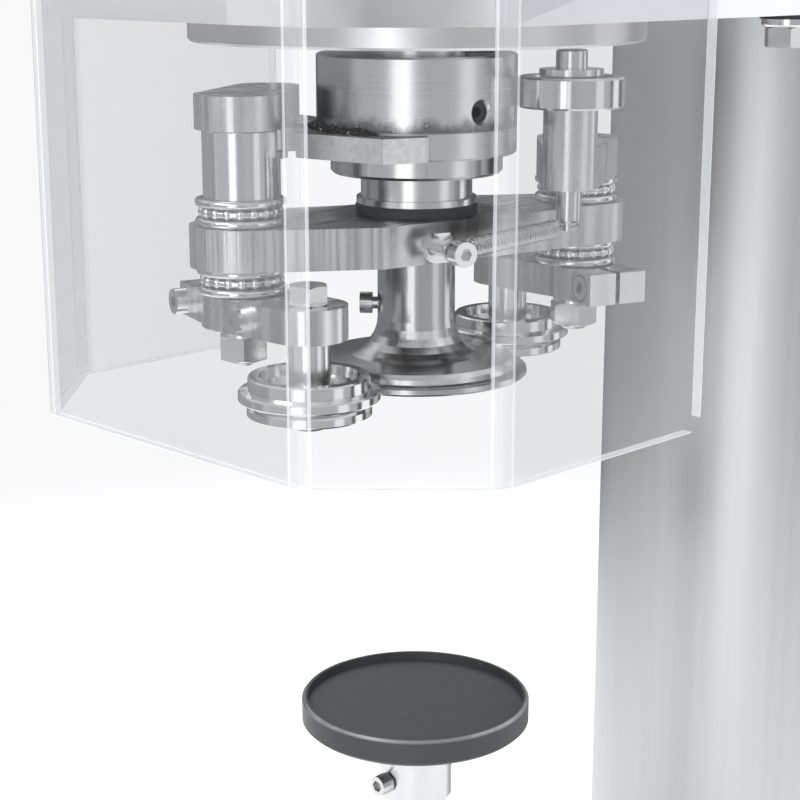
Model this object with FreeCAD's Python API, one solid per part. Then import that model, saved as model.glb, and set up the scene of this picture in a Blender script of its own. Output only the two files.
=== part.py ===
"""Can seamer of the still-can kind: the can stands on a tray while the rollers travel round it.

Frame: millimetres, +Z up, the machine's front faces -Y.
Origin: centre of the floor rectangle, on the plane the rubber feet stand on.
"""
import FreeCAD, Part
import math
import os

V = FreeCAD.Vector
UP = V(0, 0, 1)

# ---------------------------------------------------------------- driving dimensions
# Whole machine
disc_bottom = 640.0          # underside of the mounting disc above the floor
column_offset = 245.0        # column axis behind the seaming axis
guard_front = 131.0          # outer front face of the guard ahead of the seaming axis
head_back = 126.0            # back of the head behind the column axis
head_height = 230.0
head_wall = 3.0
floor_plate = 4.0            # bottom plate of the head
disc_radius = 90.0
disc_thickness = 10.0

# Acrylic guard
guard_thickness = 4.0
guard_half_width = 122.0     # outer face of each side panel from the middle plane
guard_chamfer = 49.0         # leg of the 45 degree corner panel
guard_side_end = 29.0        # rear edge of the side panels, behind the seaming axis
guard_drop = 152.0           # how far the guard hangs below the head
guard_lap = 40.0             # how far it laps over the fascia
guard_corner = 7.0           # rounding of its free lower corners

# Base, column and lift
foot_height = 18.0
foot_radius = 20.0
base_height = 110.0
base_half_width = 130.0
base_front = 105.0           # front of the base ahead of the seaming axis
base_back = 120.0            # back of the base behind the column axis
base_corner = 26.0
base_top_plate = 6.0
column_radius = 75.0
column_wall = 2.5
flange_width = 20.0
flange_thickness = 10.0
column_in_head = 50.0        # length of column inside the head
lift_shaft_radius = 13.4
actuator_radius = 30.0
actuator_motor_width = 44.0
actuator_motor_length = 90.0
actuator_motor_start = 26.0  # front of its motor behind the lift axis
actuator_above_floor = 32.0
lift_stroke = 30.0
bush_wall = 7.0
bush_height = 26.0

# Can tray
can_space = 143.2            # clear height from tray rim to chuck
tray_radius = 49.0
tray_recess_radius = 46.2
tray_recess = 3.5
tray_height = 11.4
tray_hub_radius = 16.0
tray_hub_height = 36.5
tray_spigot_radius = 9.0

# Drain plug in the head's bottom plate
plug_in = 18.0               # from the guard's outer side face
plug_back = 102.0            # behind the seaming axis
plug_stem = 5.0
plug_across_flats = 16.0
plug_head = 8.0
plug_collar = 3.0
plug_collar_radius = 10.2
plug_washer_radius = 11.0
plug_washer_height = 2.0

# Stack of turning parts below the disc
hub_gap = 5.0
hub_radius = 40.0
hub_height = 39.0
ring_radius = 34.5
ring_height = 8.0
neck_radius = 22.4
neck_height = 9.6
bearing_ring_radius = 24.2
bearing_ring_height = 2.4
seal_radius = 24.6
seal_height = 4.0
arm_thickness = 16.0
fixed_shaft_radius = 10.0
sleeve_radius = 14.0         # carrier sleeve that turns on the fixed shaft
running_fit = 0.05           # radial clearance of a turning or sliding fit
face_gap = 0.3               # clearance between faces that turn past each other

# Cross arm and its two pivots
carrier_turn = 72.3          # parked angle of the cross arm about the seaming axis
pivot_circle = 76.3          # pivot axis to seaming axis
arm_end_radius = 20.0
arm_waist_x = 32.0           # corner of the widest place, along the arm
arm_waist_y = 35.0           # and across it
pivot_radius = 10.0
pivot_thread_radius = 6.0
thrust_radius = 17.5
thrust_height = 10.5
thrust_row = 4.6             # height of the ball row
lever_end_radius = 17.0
front_lever_thickness = 13.0
rear_lever_thickness = 16.0
front_spacer = 26.0
spacer_radius = 14.3

# Cams and followers
follower_radius = 21.0
follower_bore_ring = 10.0    # outside of its inner ring
follower_outer_ring = 5.0    # width of its outer ring
follower_shield_dip = 0.8    # how far its shields sit below the rings
follower_angle = -37.6       # place of the follower about the seaming axis, from the arm
front_follower_height = 11.6
rear_follower_height = 12.0
cam_lift = 10.5
cam_thickness = 10.0
cam_start = 152.7            # foot of the lower plate's ramp, from the arm
cam_stagger = 145.0          # upper plate behind the lower one
cam_ramp = ((0, 0), (6, 2.6), (13, 6.6), (20, 10.2))   # angle and lift along the ramp
rear_follower_rise = 18.5    # rear follower above the hub's underside
set_screw_angle = -79.7
set_screw_radius = 4.0
set_screw_rise = 18.0        # above the hub's underside
follower_pin_radius = 5.0
pin_waist_radius = 3.5
pin_below_arm_top = 6.0
rear_washer_radius = 12.6
rear_washer_height = 2.5
rear_stud_gap = 3.3          # top of the rear stud below the disc
rear_boss_radius = 10.7
front_boss_radius = 13.0

# Seaming rollers
roller_circle = 73.5         # roller axis to seaming axis with the roller open
roller_angle = 28.8          # place of the roller about the seaming axis, from the arm
roller_arm_thickness = 13.0
eye_radius = 15.0
clamp_width = 27.0
clamp_reach = 33.0
clamp_slot = 2.0
clamp_screw_in = 8.0         # clamp screw in from the block's end
clamp_thread_radius = 3.0
clamp_sink = 6.0             # counterbore for the front clamp's screw head
lock_thread_radius = 2.5     # screw that locks the eccentric shaft
lock_length = 10.5
eccentric_hexagon = 14.0     # across the flats of the shaft's hexagon head
eccentric_head = 7.5
roller_screw_radius = 6.7
roller_screw_head = 5.0
roller_thread_radius = 4.0
roller_flange_radius = 27.0
roller_flange = 4.0
roller_rim_radius = 23.3
roller_rim = 5.5
roller_lower_radius = 23.8
roller_lower = 4.0
roller_groove_radius = 21.3
roller_groove = 2.0
roller_above_lip = 1.3       # top of the groove above the chuck's lower face
roller_recess = 4.0          # depth of the hollow in its top
roller_shaft_radius = 8.4
nut_across_flats = 18.0
nut_height = 9.5
shoulder_height = 4.0
shoulder_radius = 8.8

# Return springs
spring_radius = 3.9
anchor_x = -12.0             # place of the spring screw along the arm
anchor_reach = 30.0
anchor_eye = 20.0            # where the spring hooks on, from the arm's face

# Chuck
chuck_lip_radius = 45.6
chuck_rim_radius = 40.6
chuck_stem_radius = 15.8
chuck_height = 50.0

# Drive inside the head
pulley_radius = 60.0
motor_pulley_radius = 25.0
pulley_height = 20.0
pulley_above_floor = 58.0
motor_offset = 150.0         # motor axis behind the seaming axis
motor_radius = 45.0
motor_height = 95.0
motor_shaft_radius = 7.0
belt_thickness = 4.0
housing_radius = 58.0
housing_height = 36.0
bridge_height = 12.0

# Controls
button_radius = 14.0
estop_radius = 19.0
button_spread = 36.0
button_height = 130.0        # above the head's bottom
button_travel = 4.0
button_hole = 10.5           # hole for the stop button's stem
collar_width = 4.0
start_collar = 6.0
estop_collar = 8.0
estop_cap = 12.0
rocker_height = 21.0
rocker_length = 20.0
rocker_frame = 4.0           # width of the frame round the rocker

# ---------------------------------------------------------------- derived places
front_reach = guard_front - guard_thickness + estop_collar + button_travel + 1 + estop_cap
total_depth = front_reach + column_offset + head_back
axis_y = front_reach - total_depth / 2
column_y = axis_y + column_offset
head_bottom = disc_bottom + disc_thickness
head_top = head_bottom + head_height
floor_top = head_bottom + floor_plate
guard_bottom = head_bottom - guard_drop
base_top = foot_height + base_height

hub_top = disc_bottom - hub_gap
hub_bottom = hub_top - hub_height
ring_bottom = hub_bottom - ring_height
neck_bottom = ring_bottom - neck_height
bearing_ring_bottom = neck_bottom - bearing_ring_height
arm_top = bearing_ring_bottom - seal_height
arm_bottom = arm_top - arm_thickness
lever_floor = arm_top + thrust_height
front_lever_bottom = lever_floor + front_spacer
front_lever_top = front_lever_bottom + front_lever_thickness
rear_lever_top = lever_floor + rear_lever_thickness
clamp_top = arm_bottom - thrust_height
clamp_bottom = clamp_top - roller_arm_thickness
nut_top = clamp_bottom - shoulder_height
nut_bottom = nut_top - nut_height
chuck_bottom = arm_bottom - face_gap - chuck_height
tray_top = chuck_bottom - can_space
tray_bottom = tray_top - tray_height
tray_hub_bottom = tray_bottom - tray_hub_height

flange_bottom = chuck_bottom + roller_groove + roller_above_lip
roller_top = flange_bottom + roller_flange + roller_rim
roller_bottom = flange_bottom - roller_groove - roller_lower
roller_floor = roller_top - roller_recess

front_follower_top = front_lever_bottom - face_gap
front_follower_bottom = front_follower_top - front_follower_height
rear_follower_bottom = hub_bottom + rear_follower_rise
rear_follower_top = rear_follower_bottom + rear_follower_height
follower_circle = hub_radius + face_gap + follower_radius


plug_at = V(guard_half_width - plug_in, plug_back, 0)


def polar(radius, angle):
    """Point on a circle about the seaming axis, in the carrier's own frame."""
    a = math.radians(angle)
    return V(radius * math.cos(a), radius * math.sin(a), 0)


pivot_at = V(pivot_circle, 0, 0)
follower_at = polar(follower_circle, follower_angle)
roller_at = polar(roller_circle, roller_angle)


# ---------------------------------------------------------------- shape helpers
def cylinder(radius, z0, z1, at=V(0, 0, 0)):
    """Upright cylinder between two heights."""
    return Part.makeCylinder(radius, z1 - z0, V(at.x, at.y, z0))


def tube(outer, inner, z0, z1, at=V(0, 0, 0)):
    """Upright ring between two heights."""
    return cylinder(outer, z0, z1, at).cut(cylinder(inner, z0 - 1, z1 + 1, at))


def rod(radius, start, direction, length):
    """Cylinder in any direction."""
    return Part.makeCylinder(radius, length, start, direction)


def prism(points, z0, z1):
    """Upright prism over a closed outline of plan points."""
    ring = [V(p[0], p[1], z0) for p in points]
    face = Part.Face(Part.makePolygon(ring + ring[:1]))
    return face.extrude(V(0, 0, z1 - z0))


def turned(profile, at=V(0, 0, 0)):
    """Solid of revolution about an upright axis from (radius, height) points."""
    ring = [V(r, 0, z) for r, z in profile]
    face = Part.Face(Part.makePolygon(ring + ring[:1]))
    solid = face.revolve(V(0, 0, 0), UP, 360)
    solid.translate(V(at.x, at.y, 0))
    return solid


def hexagon(across_flats, z0, z1, at=V(0, 0, 0), turn=0.0):
    """Upright hexagonal prism."""
    radius = across_flats / math.sqrt(3)
    corners = [polar(radius, turn + 60 * i) + at for i in range(6)]
    return prism([(c.x, c.y) for c in corners], z0, z1)


def nut_shape(across_flats, z0, z1, at, turn=0.0):
    """Hexagon with its corners turned down, as on a rolled nut."""
    corner = across_flats / math.sqrt(3)
    drop = corner - across_flats / 2
    dome = turned([(0, z0), (corner - drop, z0), (corner, z0 + drop * 0.6),
                   (corner, z1 - drop * 0.6), (corner - drop, z1), (0, z1)], at)
    return hexagon(across_flats, z0, z1, at, turn).common(dome)


def link(a, ra, b, rb, z0, z1):
    """Plate with two round ends joined by their outer tangents."""
    along = b - a
    span = along.Length
    heading = math.degrees(math.atan2(along.y, along.x))
    lean = math.degrees(math.acos((ra - rb) / span))
    corners = [a + polar(ra, heading + lean), b + polar(rb, heading + lean),
               b + polar(rb, heading - lean), a + polar(ra, heading - lean)]
    web = prism([(c.x, c.y) for c in corners], z0, z1)
    return web.fuse([cylinder(ra, z0, z1, a), cylinder(rb, z0, z1, b)]).removeSplitter()


def cap_screw(head_at, direction, thread_radius, length, head_ratio=1.7):
    """Socket cap screw: its head's underside at head_at, its shank along direction."""
    head_radius = thread_radius * head_ratio
    head_height = thread_radius * 2
    back = direction * -1
    head = rod(head_radius, head_at, back, head_height)
    socket = hex_rod(thread_radius * 0.86, head_at + back * head_height, direction, head_height * 0.55)
    shank = rod(thread_radius, head_at, direction, length)
    return head.cut(socket).fuse(shank)


def hex_rod(corner_radius, start, direction, length):
    """Hexagonal bar in any direction."""
    bar = hexagon(corner_radius * math.sqrt(3), 0, length)
    bar.Placement = FreeCAD.Placement(start, FreeCAD.Rotation(UP, direction))
    return bar


def group(shapes):
    """Several separate solids in one node."""
    return Part.makeCompound(shapes)


def on_axis(shape):
    """From the seaming axis to its place in the machine."""
    shape.translate(V(0, axis_y, 0))
    return shape


def on_carrier(shape):
    """From the carrier's own frame to the machine, at the parked angle."""
    shape.rotate(V(0, 0, 0), UP, carrier_turn)
    return on_axis(shape)


def on_front_half(shape):
    """The front half of the carrier is the rear half turned about the seaming axis."""
    shape.rotate(V(0, 0, 0), UP, 180)
    return on_carrier(shape)


# ---------------------------------------------------------------- base, column, lift
def rounded_box(x, y0, y1, z0, z1, corner):
    """Box with rounded upright edges."""
    box = Part.makeBox(2 * x, y1 - y0, z1 - z0, V(-x, y0, z0))
    upright = [e for e in box.Edges if abs(e.tangentAt(e.FirstParameter).z) > 0.9]
    return box.makeFillet(corner, upright)


def base_housing():
    """Folded steel base, open below, with a thicker top."""
    y0 = axis_y - base_front
    y1 = column_y + base_back
    outer = rounded_box(base_half_width, y0, y1, foot_height, base_top, base_corner)
    rim = [e for e in outer.Edges if e.BoundBox.ZMin > base_top - 0.01]
    outer = outer.makeFillet(5, rim)
    inner = rounded_box(base_half_width - head_wall, y0 + head_wall, y1 - head_wall,
                        foot_height - 1, base_top - base_top_plate, base_corner - head_wall)
    shell = outer.cut(inner)
    bore = cylinder(lift_shaft_radius + bush_wall, 0, base_top + 1, V(0, axis_y, 0))
    pads = [Part.makeBox(50, 50, 6, V(p.x - 25, p.y - 25, foot_height)) for p in foot_places()]
    return shell.fuse([pad.common(outer) for pad in pads]).cut(bore)


def foot_places():
    """The four feet, inside the corners of the base."""
    x = base_half_width - foot_radius - 12
    y0 = axis_y - base_front + foot_radius + 12
    y1 = column_y + base_back - foot_radius - 12
    return [V(sx * x, y, 0) for sx in (-1, 1) for y in (y0, y1)]


def rubber_feet():
    """Four tapered rubber feet."""
    r = foot_radius
    profile = [(0, 0), (r - 3, 0), (r, 3), (r - 2, foot_height), (0, foot_height)]
    return group([turned(profile, at) for at in foot_places()])


def column_tube():
    """Polished round column from the base plate into the head."""
    top = head_bottom + column_in_head
    return tube(column_radius, column_radius - column_wall, base_top, top, V(0, column_y, 0))


def column_flange():
    """Collars that hold the column on the base and under the head's floor plate."""
    at = V(0, column_y, 0)
    lower = collar(base_top, base_top + flange_thickness, at)
    upper = collar(floor_top, floor_top + flange_thickness, at)
    return group([lower, upper])


def collar(z0, z1, at):
    """Ring round the column with a bevelled edge and four bolt holes."""
    outer = column_radius + flange_width
    bevel = 2.0
    body = turned([(column_radius, z0), (outer, z0), (outer, z1 - bevel),
                   (outer - bevel, z1), (column_radius, z1)], at)
    for angle in (45, 135, 225, 315):
        hole_at = at + polar(column_radius + flange_width / 2, angle)
        body = body.cut(cylinder(4.5, z0 - 1, z1 + 1, hole_at))
    return body


def lift_guide_bush():
    """Flanged bush that guides the lift shaft through the base."""
    inner = lift_shaft_radius + running_fit
    outer = lift_shaft_radius + bush_wall
    top = base_top + bush_height
    flange = outer + 12
    profile = [(inner, base_top - base_top_plate), (outer, base_top - base_top_plate),
               (outer, base_top), (flange, base_top), (flange, base_top + 5), (flange - 1, base_top + 6),
               (outer, base_top + 6), (outer, top - 2), (outer - 2, top), (inner, top)]
    return on_axis(turned(profile))


def lift_actuator():
    """Electric lift cylinder under the base plate; its bore takes the lift shaft."""
    top = base_top - base_top_plate
    bottom = actuator_above_floor
    body = cylinder(actuator_radius, bottom, top)
    width = actuator_motor_width
    motor = Part.makeBox(width, actuator_motor_length, width, V(-width / 2, actuator_motor_start, bottom + 4))
    return on_axis(body.fuse(motor).cut(cylinder(lift_shaft_radius + running_fit, bottom + 6, top + 1)))


def lift_shaft():
    """Ground shaft that carries the tray on a spigot."""
    bottom = foot_height + 24
    spigot_top = tray_bottom + 4
    profile = [(0, bottom), (lift_shaft_radius, bottom), (lift_shaft_radius, tray_hub_bottom),
               (tray_spigot_radius, tray_hub_bottom), (tray_spigot_radius, spigot_top), (0, spigot_top)]
    return on_axis(turned(profile))


def can_tray():
    """Black lift tray with a raised rim, on a hub that slips over the spigot."""
    top_in = tray_top - tray_recess
    profile = [(tray_spigot_radius, tray_hub_bottom), (lift_shaft_radius + 0.2, tray_hub_bottom),
               (tray_hub_radius, tray_hub_bottom + 3), (tray_hub_radius, tray_bottom),
               (tray_radius - 1.5, tray_bottom), (tray_radius, tray_bottom + 1.5),
               (tray_radius, tray_top - 1), (tray_radius - 0.8, tray_top),
               (tray_recess_radius + 0.5, tray_top), (tray_recess_radius, top_in), (0, top_in),
               (0, tray_bottom + 4), (tray_spigot_radius, tray_bottom + 4)]
    hole = rod(3.05, V(0, 0, tray_screw_z()), tray_screw_out(), tray_hub_radius + 2)
    return on_axis(turned(profile).cut(hole))


def tray_screw_z():
    """Height of the screw that locks the tray on its shaft."""
    return tray_hub_bottom + 11.5


def tray_screw_out():
    """Way the head of the tray screw faces."""
    return polar(1, -92)


def tray_screw():
    """Socket screw that locks the tray's hub."""
    start = tray_screw_out() * tray_spigot_radius + V(0, 0, tray_screw_z())
    shank = tray_hub_radius - tray_spigot_radius + 0.6
    return on_axis(cap_screw(start + tray_screw_out() * shank, tray_screw_out() * -1, 3, shank, 1.45))


# ---------------------------------------------------------------- head
def bay_outline(half_width, front, chamfer, back):
    """Plan of the head: two 45 degree front corners, open-ended towards the back."""
    return [(-half_width, back), (-half_width, chamfer - front), (chamfer - half_width, -front),
            (half_width - chamfer, -front), (half_width, chamfer - front), (half_width, back)]


def bay_prism(inset, back, z0, z1, bend):
    """Upright prism over the bay plan, set in from the guard's outer face."""
    leg = guard_chamfer - inset * (2 - math.sqrt(2))
    body = prism(bay_outline(guard_half_width - inset, guard_front - inset, leg, back), z0, z1)
    upright = [e for e in body.Edges if is_front_edge(e, back)]
    return body.makeFillet(bend, upright)


def is_front_edge(edge, back):
    """True for the four upright bends ahead of the given rear edge."""
    box = edge.BoundBox
    return box.ZLength > 1 and box.XLength < 0.01 and box.YLength < 0.01 and box.YMax < back - 0.1


def guard():
    """Clear acrylic bay guard bent from one sheet, outside the fascia."""
    top = head_bottom + guard_lap
    outer = bay_prism(0, guard_side_end, guard_bottom, top, 12)
    inner = bay_prism(guard_thickness, guard_side_end + 1, guard_bottom - 1, top + 1, 8)
    shell = outer.cut(inner)
    for side in (-1, 1):
        shell = shell.cut(corner_waste(side))
    for start, out in guard_screw_places():
        shell = shell.cut(rod(2.6, start - out * 10, out, 20))
    return on_axis(shell)


def corner_waste(side):
    """What is cut away to round a lower rear corner of the guard."""
    r = guard_corner
    x = side * (guard_half_width - guard_thickness / 2)
    block = Part.makeBox(12, r + 1, r + 1, V(x - 6, guard_side_end - r, guard_bottom - 1))
    return block.cut(rod(r, V(x - 7, guard_side_end - r, guard_bottom + r), V(1, 0, 0), 14))


def guard_screw_places():
    """Outer face points and outward ways of the six guard screws."""
    z = head_bottom + guard_lap * 0.65
    places = [(V(x, -guard_front, z), V(0, -1, 0)) for x in (-48, 48)]
    for side in (-1, 1):
        for y in (-guard_front * 0.45, guard_side_end - 12):
            places.append((V(side * guard_half_width, y, z), V(side, 0, 0)))
    return places


def guard_screws():
    """Six pan head screws that hold the guard to the fascia."""
    shank = guard_thickness + head_wall + 2
    screws = []
    for start, out in guard_screw_places():
        screw = turned([(0, -shank), (2.4, -shank), (2.4, 0), (4.6, 0), (4.6, 1.2), (3.2, 2.6), (0, 2.6)])
        screw.Placement = FreeCAD.Placement(start, FreeCAD.Rotation(UP, out))
        screws.append(screw)
    return on_axis(group(screws))


def head_shell(inset, z0, z1):
    """Bay plan carried back to the rear of the head, with rounded rear corners."""
    back = column_offset + head_back - (inset - guard_thickness)
    body = bay_prism(inset, back, z0, z1, 8)
    rear = [e for e in body.Edges if e.BoundBox.ZLength > 1 and e.BoundBox.YMin > back - 0.1
            and e.BoundBox.XLength < 0.01]
    return body.makeFillet(18 - (inset - guard_thickness), rear)


def head_housing():
    """White steel head cover, open below, with holes for screws and controls."""
    outer = head_shell(guard_thickness, head_bottom, head_top)
    rim = [e for e in outer.Edges if e.BoundBox.ZMin > head_top - 0.01]
    outer = outer.makeFillet(4, rim)
    inner = head_shell(guard_thickness + head_wall, head_bottom - 1, head_top - head_wall)
    shell = outer.cut(inner)
    for start, out in guard_screw_places():
        shell = shell.cut(rod(2.4, start - out * 12, out, 14))
    for place, radius in ((estop_place(), button_hole), (start_place(), button_radius + face_gap)):
        shell = shell.cut(rod(radius, place + V(0, 20, 0), V(0, -1, 0), 40))
    return on_axis(shell.cut(rocker_window()))


def head_floor():
    """Bottom plate of the head, with holes for the hub, the column and the plug."""
    plate = head_shell(guard_thickness + head_wall + 0.1, head_bottom, floor_top)
    plate = plate.cut(cylinder(hub_sleeve_radius() + 2, 0, floor_top + 1))
    plate = plate.cut(cylinder(column_radius, 0, floor_top + 1, V(0, column_offset, 0)))
    return on_axis(plate.cut(cylinder(plug_stem, 0, floor_top + 1, plug_at)))


def mounting_disc():
    """Thick machined disc under the head that the spindle group hangs from."""
    bore = hub_sleeve_radius() + 2
    bevel = 1.0
    return on_axis(turned([(bore, disc_bottom), (disc_radius - bevel, disc_bottom),
                           (disc_radius, disc_bottom + bevel), (disc_radius, head_bottom),
                           (bore, head_bottom)]))


def drain_plug():
    """Plated hexagon plug with a turned collar, screwed up into the floor plate."""
    under = head_bottom - plug_washer_height
    r = plug_collar_radius
    bottom = under - plug_collar
    collar_part = turned([(0, bottom), (r - 0.8, bottom), (r, bottom + 0.8), (r, under), (0, under)], plug_at)
    hexagon_part = nut_shape(plug_across_flats, bottom - plug_head, bottom, plug_at, 12)
    stem = cylinder(plug_stem, under, floor_top + 4, plug_at)
    return on_axis(collar_part.fuse([hexagon_part, stem]))


def drain_washer():
    """Black sealing washer of the plug."""
    under = head_bottom - plug_washer_height
    return on_axis(tube(plug_washer_radius, plug_stem, under, head_bottom, plug_at))


def bearing_housing():
    """Cast housing on the floor plate, with a bridge over the pulley that holds the fixed shaft."""
    bore = hub_sleeve_radius() + running_fit
    top = floor_top + housing_height
    flange = housing_radius + 26
    body = turned([(bore, floor_top), (flange, floor_top), (flange, floor_top + 8),
                   (housing_radius, floor_top + 8), (housing_radius - 12, top), (bore, top)])
    bridge_bottom = floor_top + pulley_above_floor + pulley_height + 8
    bridge = tube(flange, fixed_shaft_radius, bridge_bottom, bridge_bottom + bridge_height)
    posts = [cylinder(7, floor_top + 8, bridge_bottom, polar(flange - 8.5, a)) for a in (0, 180, 270)]
    return on_axis(body.fuse(posts + [bridge]))


def fixed_shaft():
    """Still centre shaft from the bridge down into the chuck."""
    top = floor_top + pulley_above_floor + pulley_height + 8 + bridge_height + 6
    return on_axis(cylinder(fixed_shaft_radius, chuck_bottom + 8, top))


def seaming_chuck():
    """Chuck with a round stem flowing into its flange, a working lip and a groove above it."""
    top = chuck_bottom + chuck_height
    stem = chuck_stem_radius
    sweep = 15.0
    deck = chuck_bottom + 8.2
    steps = 7
    flow = [(stem + sweep * (1 - math.cos(math.radians(90 * i / steps))),
             deck + sweep * (1 - math.sin(math.radians(90 * i / steps)))) for i in range(steps + 1)]
    groove = [(chuck_rim_radius + 0.6, chuck_bottom + 3.6), (chuck_rim_radius + 2.2, chuck_bottom + 3.0)]
    profile = [(0, chuck_bottom + 2), (chuck_lip_radius - 9, chuck_bottom + 2),
               (chuck_lip_radius - 8, chuck_bottom),
               (chuck_lip_radius - 0.8, chuck_bottom), (chuck_lip_radius, chuck_bottom + 0.8),
               (chuck_lip_radius - 0.3, chuck_bottom + 2.6)] + groove[::-1]
    profile += [(chuck_rim_radius, chuck_bottom + 5.4), (chuck_rim_radius - 1.4, chuck_bottom + 7.2)]
    profile += flow[::-1] + [(stem, top - 1), (stem - 1, top), (0, top)]
    bore = cylinder(fixed_shaft_radius, chuck_bottom + 8, top + 1)
    hole = rod(2.55, V(0, 0, chuck_screw_z()), chuck_screw_out(), stem + 2)
    return on_axis(turned(profile).cut(bore).cut(hole))


def chuck_screw_z():
    """Height of the screw that locks the chuck on the fixed shaft."""
    return chuck_bottom + 28.5


def chuck_screw_out():
    """Way the head of the chuck screw faces."""
    return polar(1, 222)


def chuck_screw():
    """Socket screw that locks the chuck; its head stands off the stem."""
    shank = chuck_stem_radius - fixed_shaft_radius + 2.2
    start = chuck_screw_out() * (fixed_shaft_radius + shank) + V(0, 0, chuck_screw_z())
    return on_axis(cap_screw(start, chuck_screw_out() * -1, 2.5, shank, 1.75))


# ---------------------------------------------------------------- drive inside the head
def pulley(radius, bore, z0):
    """Grooved belt pulley."""
    z1 = z0 + pulley_height
    return turned([(bore, z0), (radius, z0), (radius, z0 + 1), (radius - belt_thickness, z0 + 1.5),
                   (radius - belt_thickness, z1 - 1.5), (radius, z1 - 1), (radius, z1), (bore, z1)])


def pulley_floor():
    """Height of the underside of both pulleys."""
    return floor_top + pulley_above_floor


def carrier_pulley():
    """Large pulley on top of the carrier sleeve."""
    return on_carrier(pulley(pulley_radius, sleeve_radius, pulley_floor()))


def motor_pulley():
    """Small pulley with the motor's shaft."""
    wheel = pulley(motor_pulley_radius, motor_shaft_radius, pulley_floor())
    shaft = cylinder(motor_shaft_radius, pulley_floor() - 3, pulley_floor() + pulley_height + 18)
    body = wheel.fuse(shaft)
    body.translate(V(0, motor_offset, 0))
    return on_axis(body)


def drive_belt():
    """Flat belt round both pulleys."""
    gap = face_gap
    z0 = pulley_floor() + 2
    z1 = z0 + pulley_height - 4
    motor_at = V(0, motor_offset, 0)
    r1 = pulley_radius - belt_thickness + gap
    r2 = motor_pulley_radius - belt_thickness + gap
    outer = link(V(0, 0, 0), r1 + belt_thickness - 1, motor_at, r2 + belt_thickness - 1, z0, z1)
    return on_axis(outer.cut(link(V(0, 0, 0), r1, motor_at, r2, z0 - 1, z1 + 1)))


def drive_motor():
    """Geared motor on a plate between the side walls of the head."""
    plate_bottom = pulley_floor() + pulley_height + 4
    plate_top = plate_bottom + 4
    half = guard_half_width - guard_thickness - head_wall - 0.1
    front = motor_offset - motor_radius - 15
    plate = Part.makeBox(2 * half, 2 * motor_radius + 30, 4, V(-half, front, plate_bottom))
    at = V(0, motor_offset, 0)
    top = plate_top + motor_height
    can = turned([(0, plate_top), (motor_radius, plate_top), (motor_radius, top - 20),
                  (motor_radius - 3, top - 18), (motor_radius - 3, top - 3), (motor_radius - 6, top),
                  (0, top)], at)
    bore = cylinder(motor_shaft_radius + running_fit, plate_bottom - 1, plate_top + 16, at)
    return on_axis(plate.fuse(can).cut(bore))


# ---------------------------------------------------------------- controls
def estop_place():
    """Centre of the emergency stop on the fascia."""
    return V(-button_spread, guard_thickness - guard_front, head_bottom + button_height)


def start_place():
    """Centre of the start button on the fascia."""
    return V(button_spread, guard_thickness - guard_front, head_bottom + button_height)


def rocker_place():
    """Hinge of the power switch, on the right side wall."""
    return V(guard_half_width - guard_thickness - 6, column_offset - 60, head_bottom + button_height)


def rocker_window():
    """Opening in the side wall for the power switch."""
    at = rocker_place()
    return Part.makeBox(20, rocker_length, rocker_height,
                        V(at.x - 2, at.y - rocker_length / 2, at.z - rocker_height / 2))


def button_collars():
    """Collars of both buttons and the frame of the power switch."""
    out = V(0, -1, 0)
    inwards = V(0, 1, 0)
    stop = rod(estop_radius + 2, estop_place(), out, estop_collar)
    stop = stop.cut(rod(button_hole, estop_place() + inwards, out, estop_collar + 2))
    start = rod(button_radius + collar_width, start_place(), out, start_collar)
    start = start.cut(rod(button_radius + face_gap, start_place() + inwards, out, start_collar + 2))
    at = rocker_place()
    length = rocker_length + 2 * rocker_frame
    height = rocker_height + 2 * rocker_frame
    wall = guard_half_width - guard_thickness
    frame = Part.makeBox(3, length, height, V(wall, at.y - length / 2, at.z - height / 2))
    return on_axis(group([stop, start, frame.cut(rocker_window())]))


def e_stop_button():
    """Mushroom button on a stem."""
    at = estop_place()
    reach = 10 + estop_collar + button_travel + 2
    stem = rod(button_hole - face_gap, at + V(0, 10, 0), V(0, -1, 0), reach)
    cap = turned([(0, 0), (estop_radius - 2, 0), (estop_radius, 2.5), (estop_radius, estop_cap - 5),
                  (estop_radius - 4, estop_cap - 1.5), (0, estop_cap)])
    cap.rotate(V(0, 0, 0), V(1, 0, 0), 90)
    cap.translate(at + V(0, -estop_collar - button_travel - 1, 0))
    return on_axis(stem.fuse(cap))


def start_button():
    """Flush push button."""
    reach = 8 + start_collar + button_travel
    return on_axis(rod(button_radius, start_place() + V(0, 8, 0), V(0, -1, 0), reach))


def power_rocker():
    """Rocker of the power switch, crowned about its hinge."""
    at = rocker_place()
    roll = rod(10, V(at.x, at.y - 9.7, at.z), V(0, 1, 0), 19.4)
    dip = rod(16, V(at.x + 24.5, at.y - 11, at.z), V(0, 1, 0), 22)
    return on_axis(roll.cut(dip))


# ---------------------------------------------------------------- carrier
def hub_sleeve_radius():
    """Outer radius of the cam hub's sleeve."""
    return sleeve_radius + 6


def carrier_sleeve():
    """Turned sleeve on the fixed shaft with the neck and the ring under the hub."""
    bore = fixed_shaft_radius + running_fit
    top = pulley_floor() + pulley_height + 4
    bevel = 1.2
    return on_carrier(turned([(bore, arm_bottom), (sleeve_radius, arm_bottom), (sleeve_radius, neck_bottom),
                              (neck_radius, neck_bottom), (neck_radius, ring_bottom),
                              (ring_radius - bevel, ring_bottom), (ring_radius, ring_bottom + bevel),
                              (ring_radius, hub_bottom - face_gap), (sleeve_radius, hub_bottom - face_gap),
                              (sleeve_radius, top), (bore, top)]))


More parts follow.
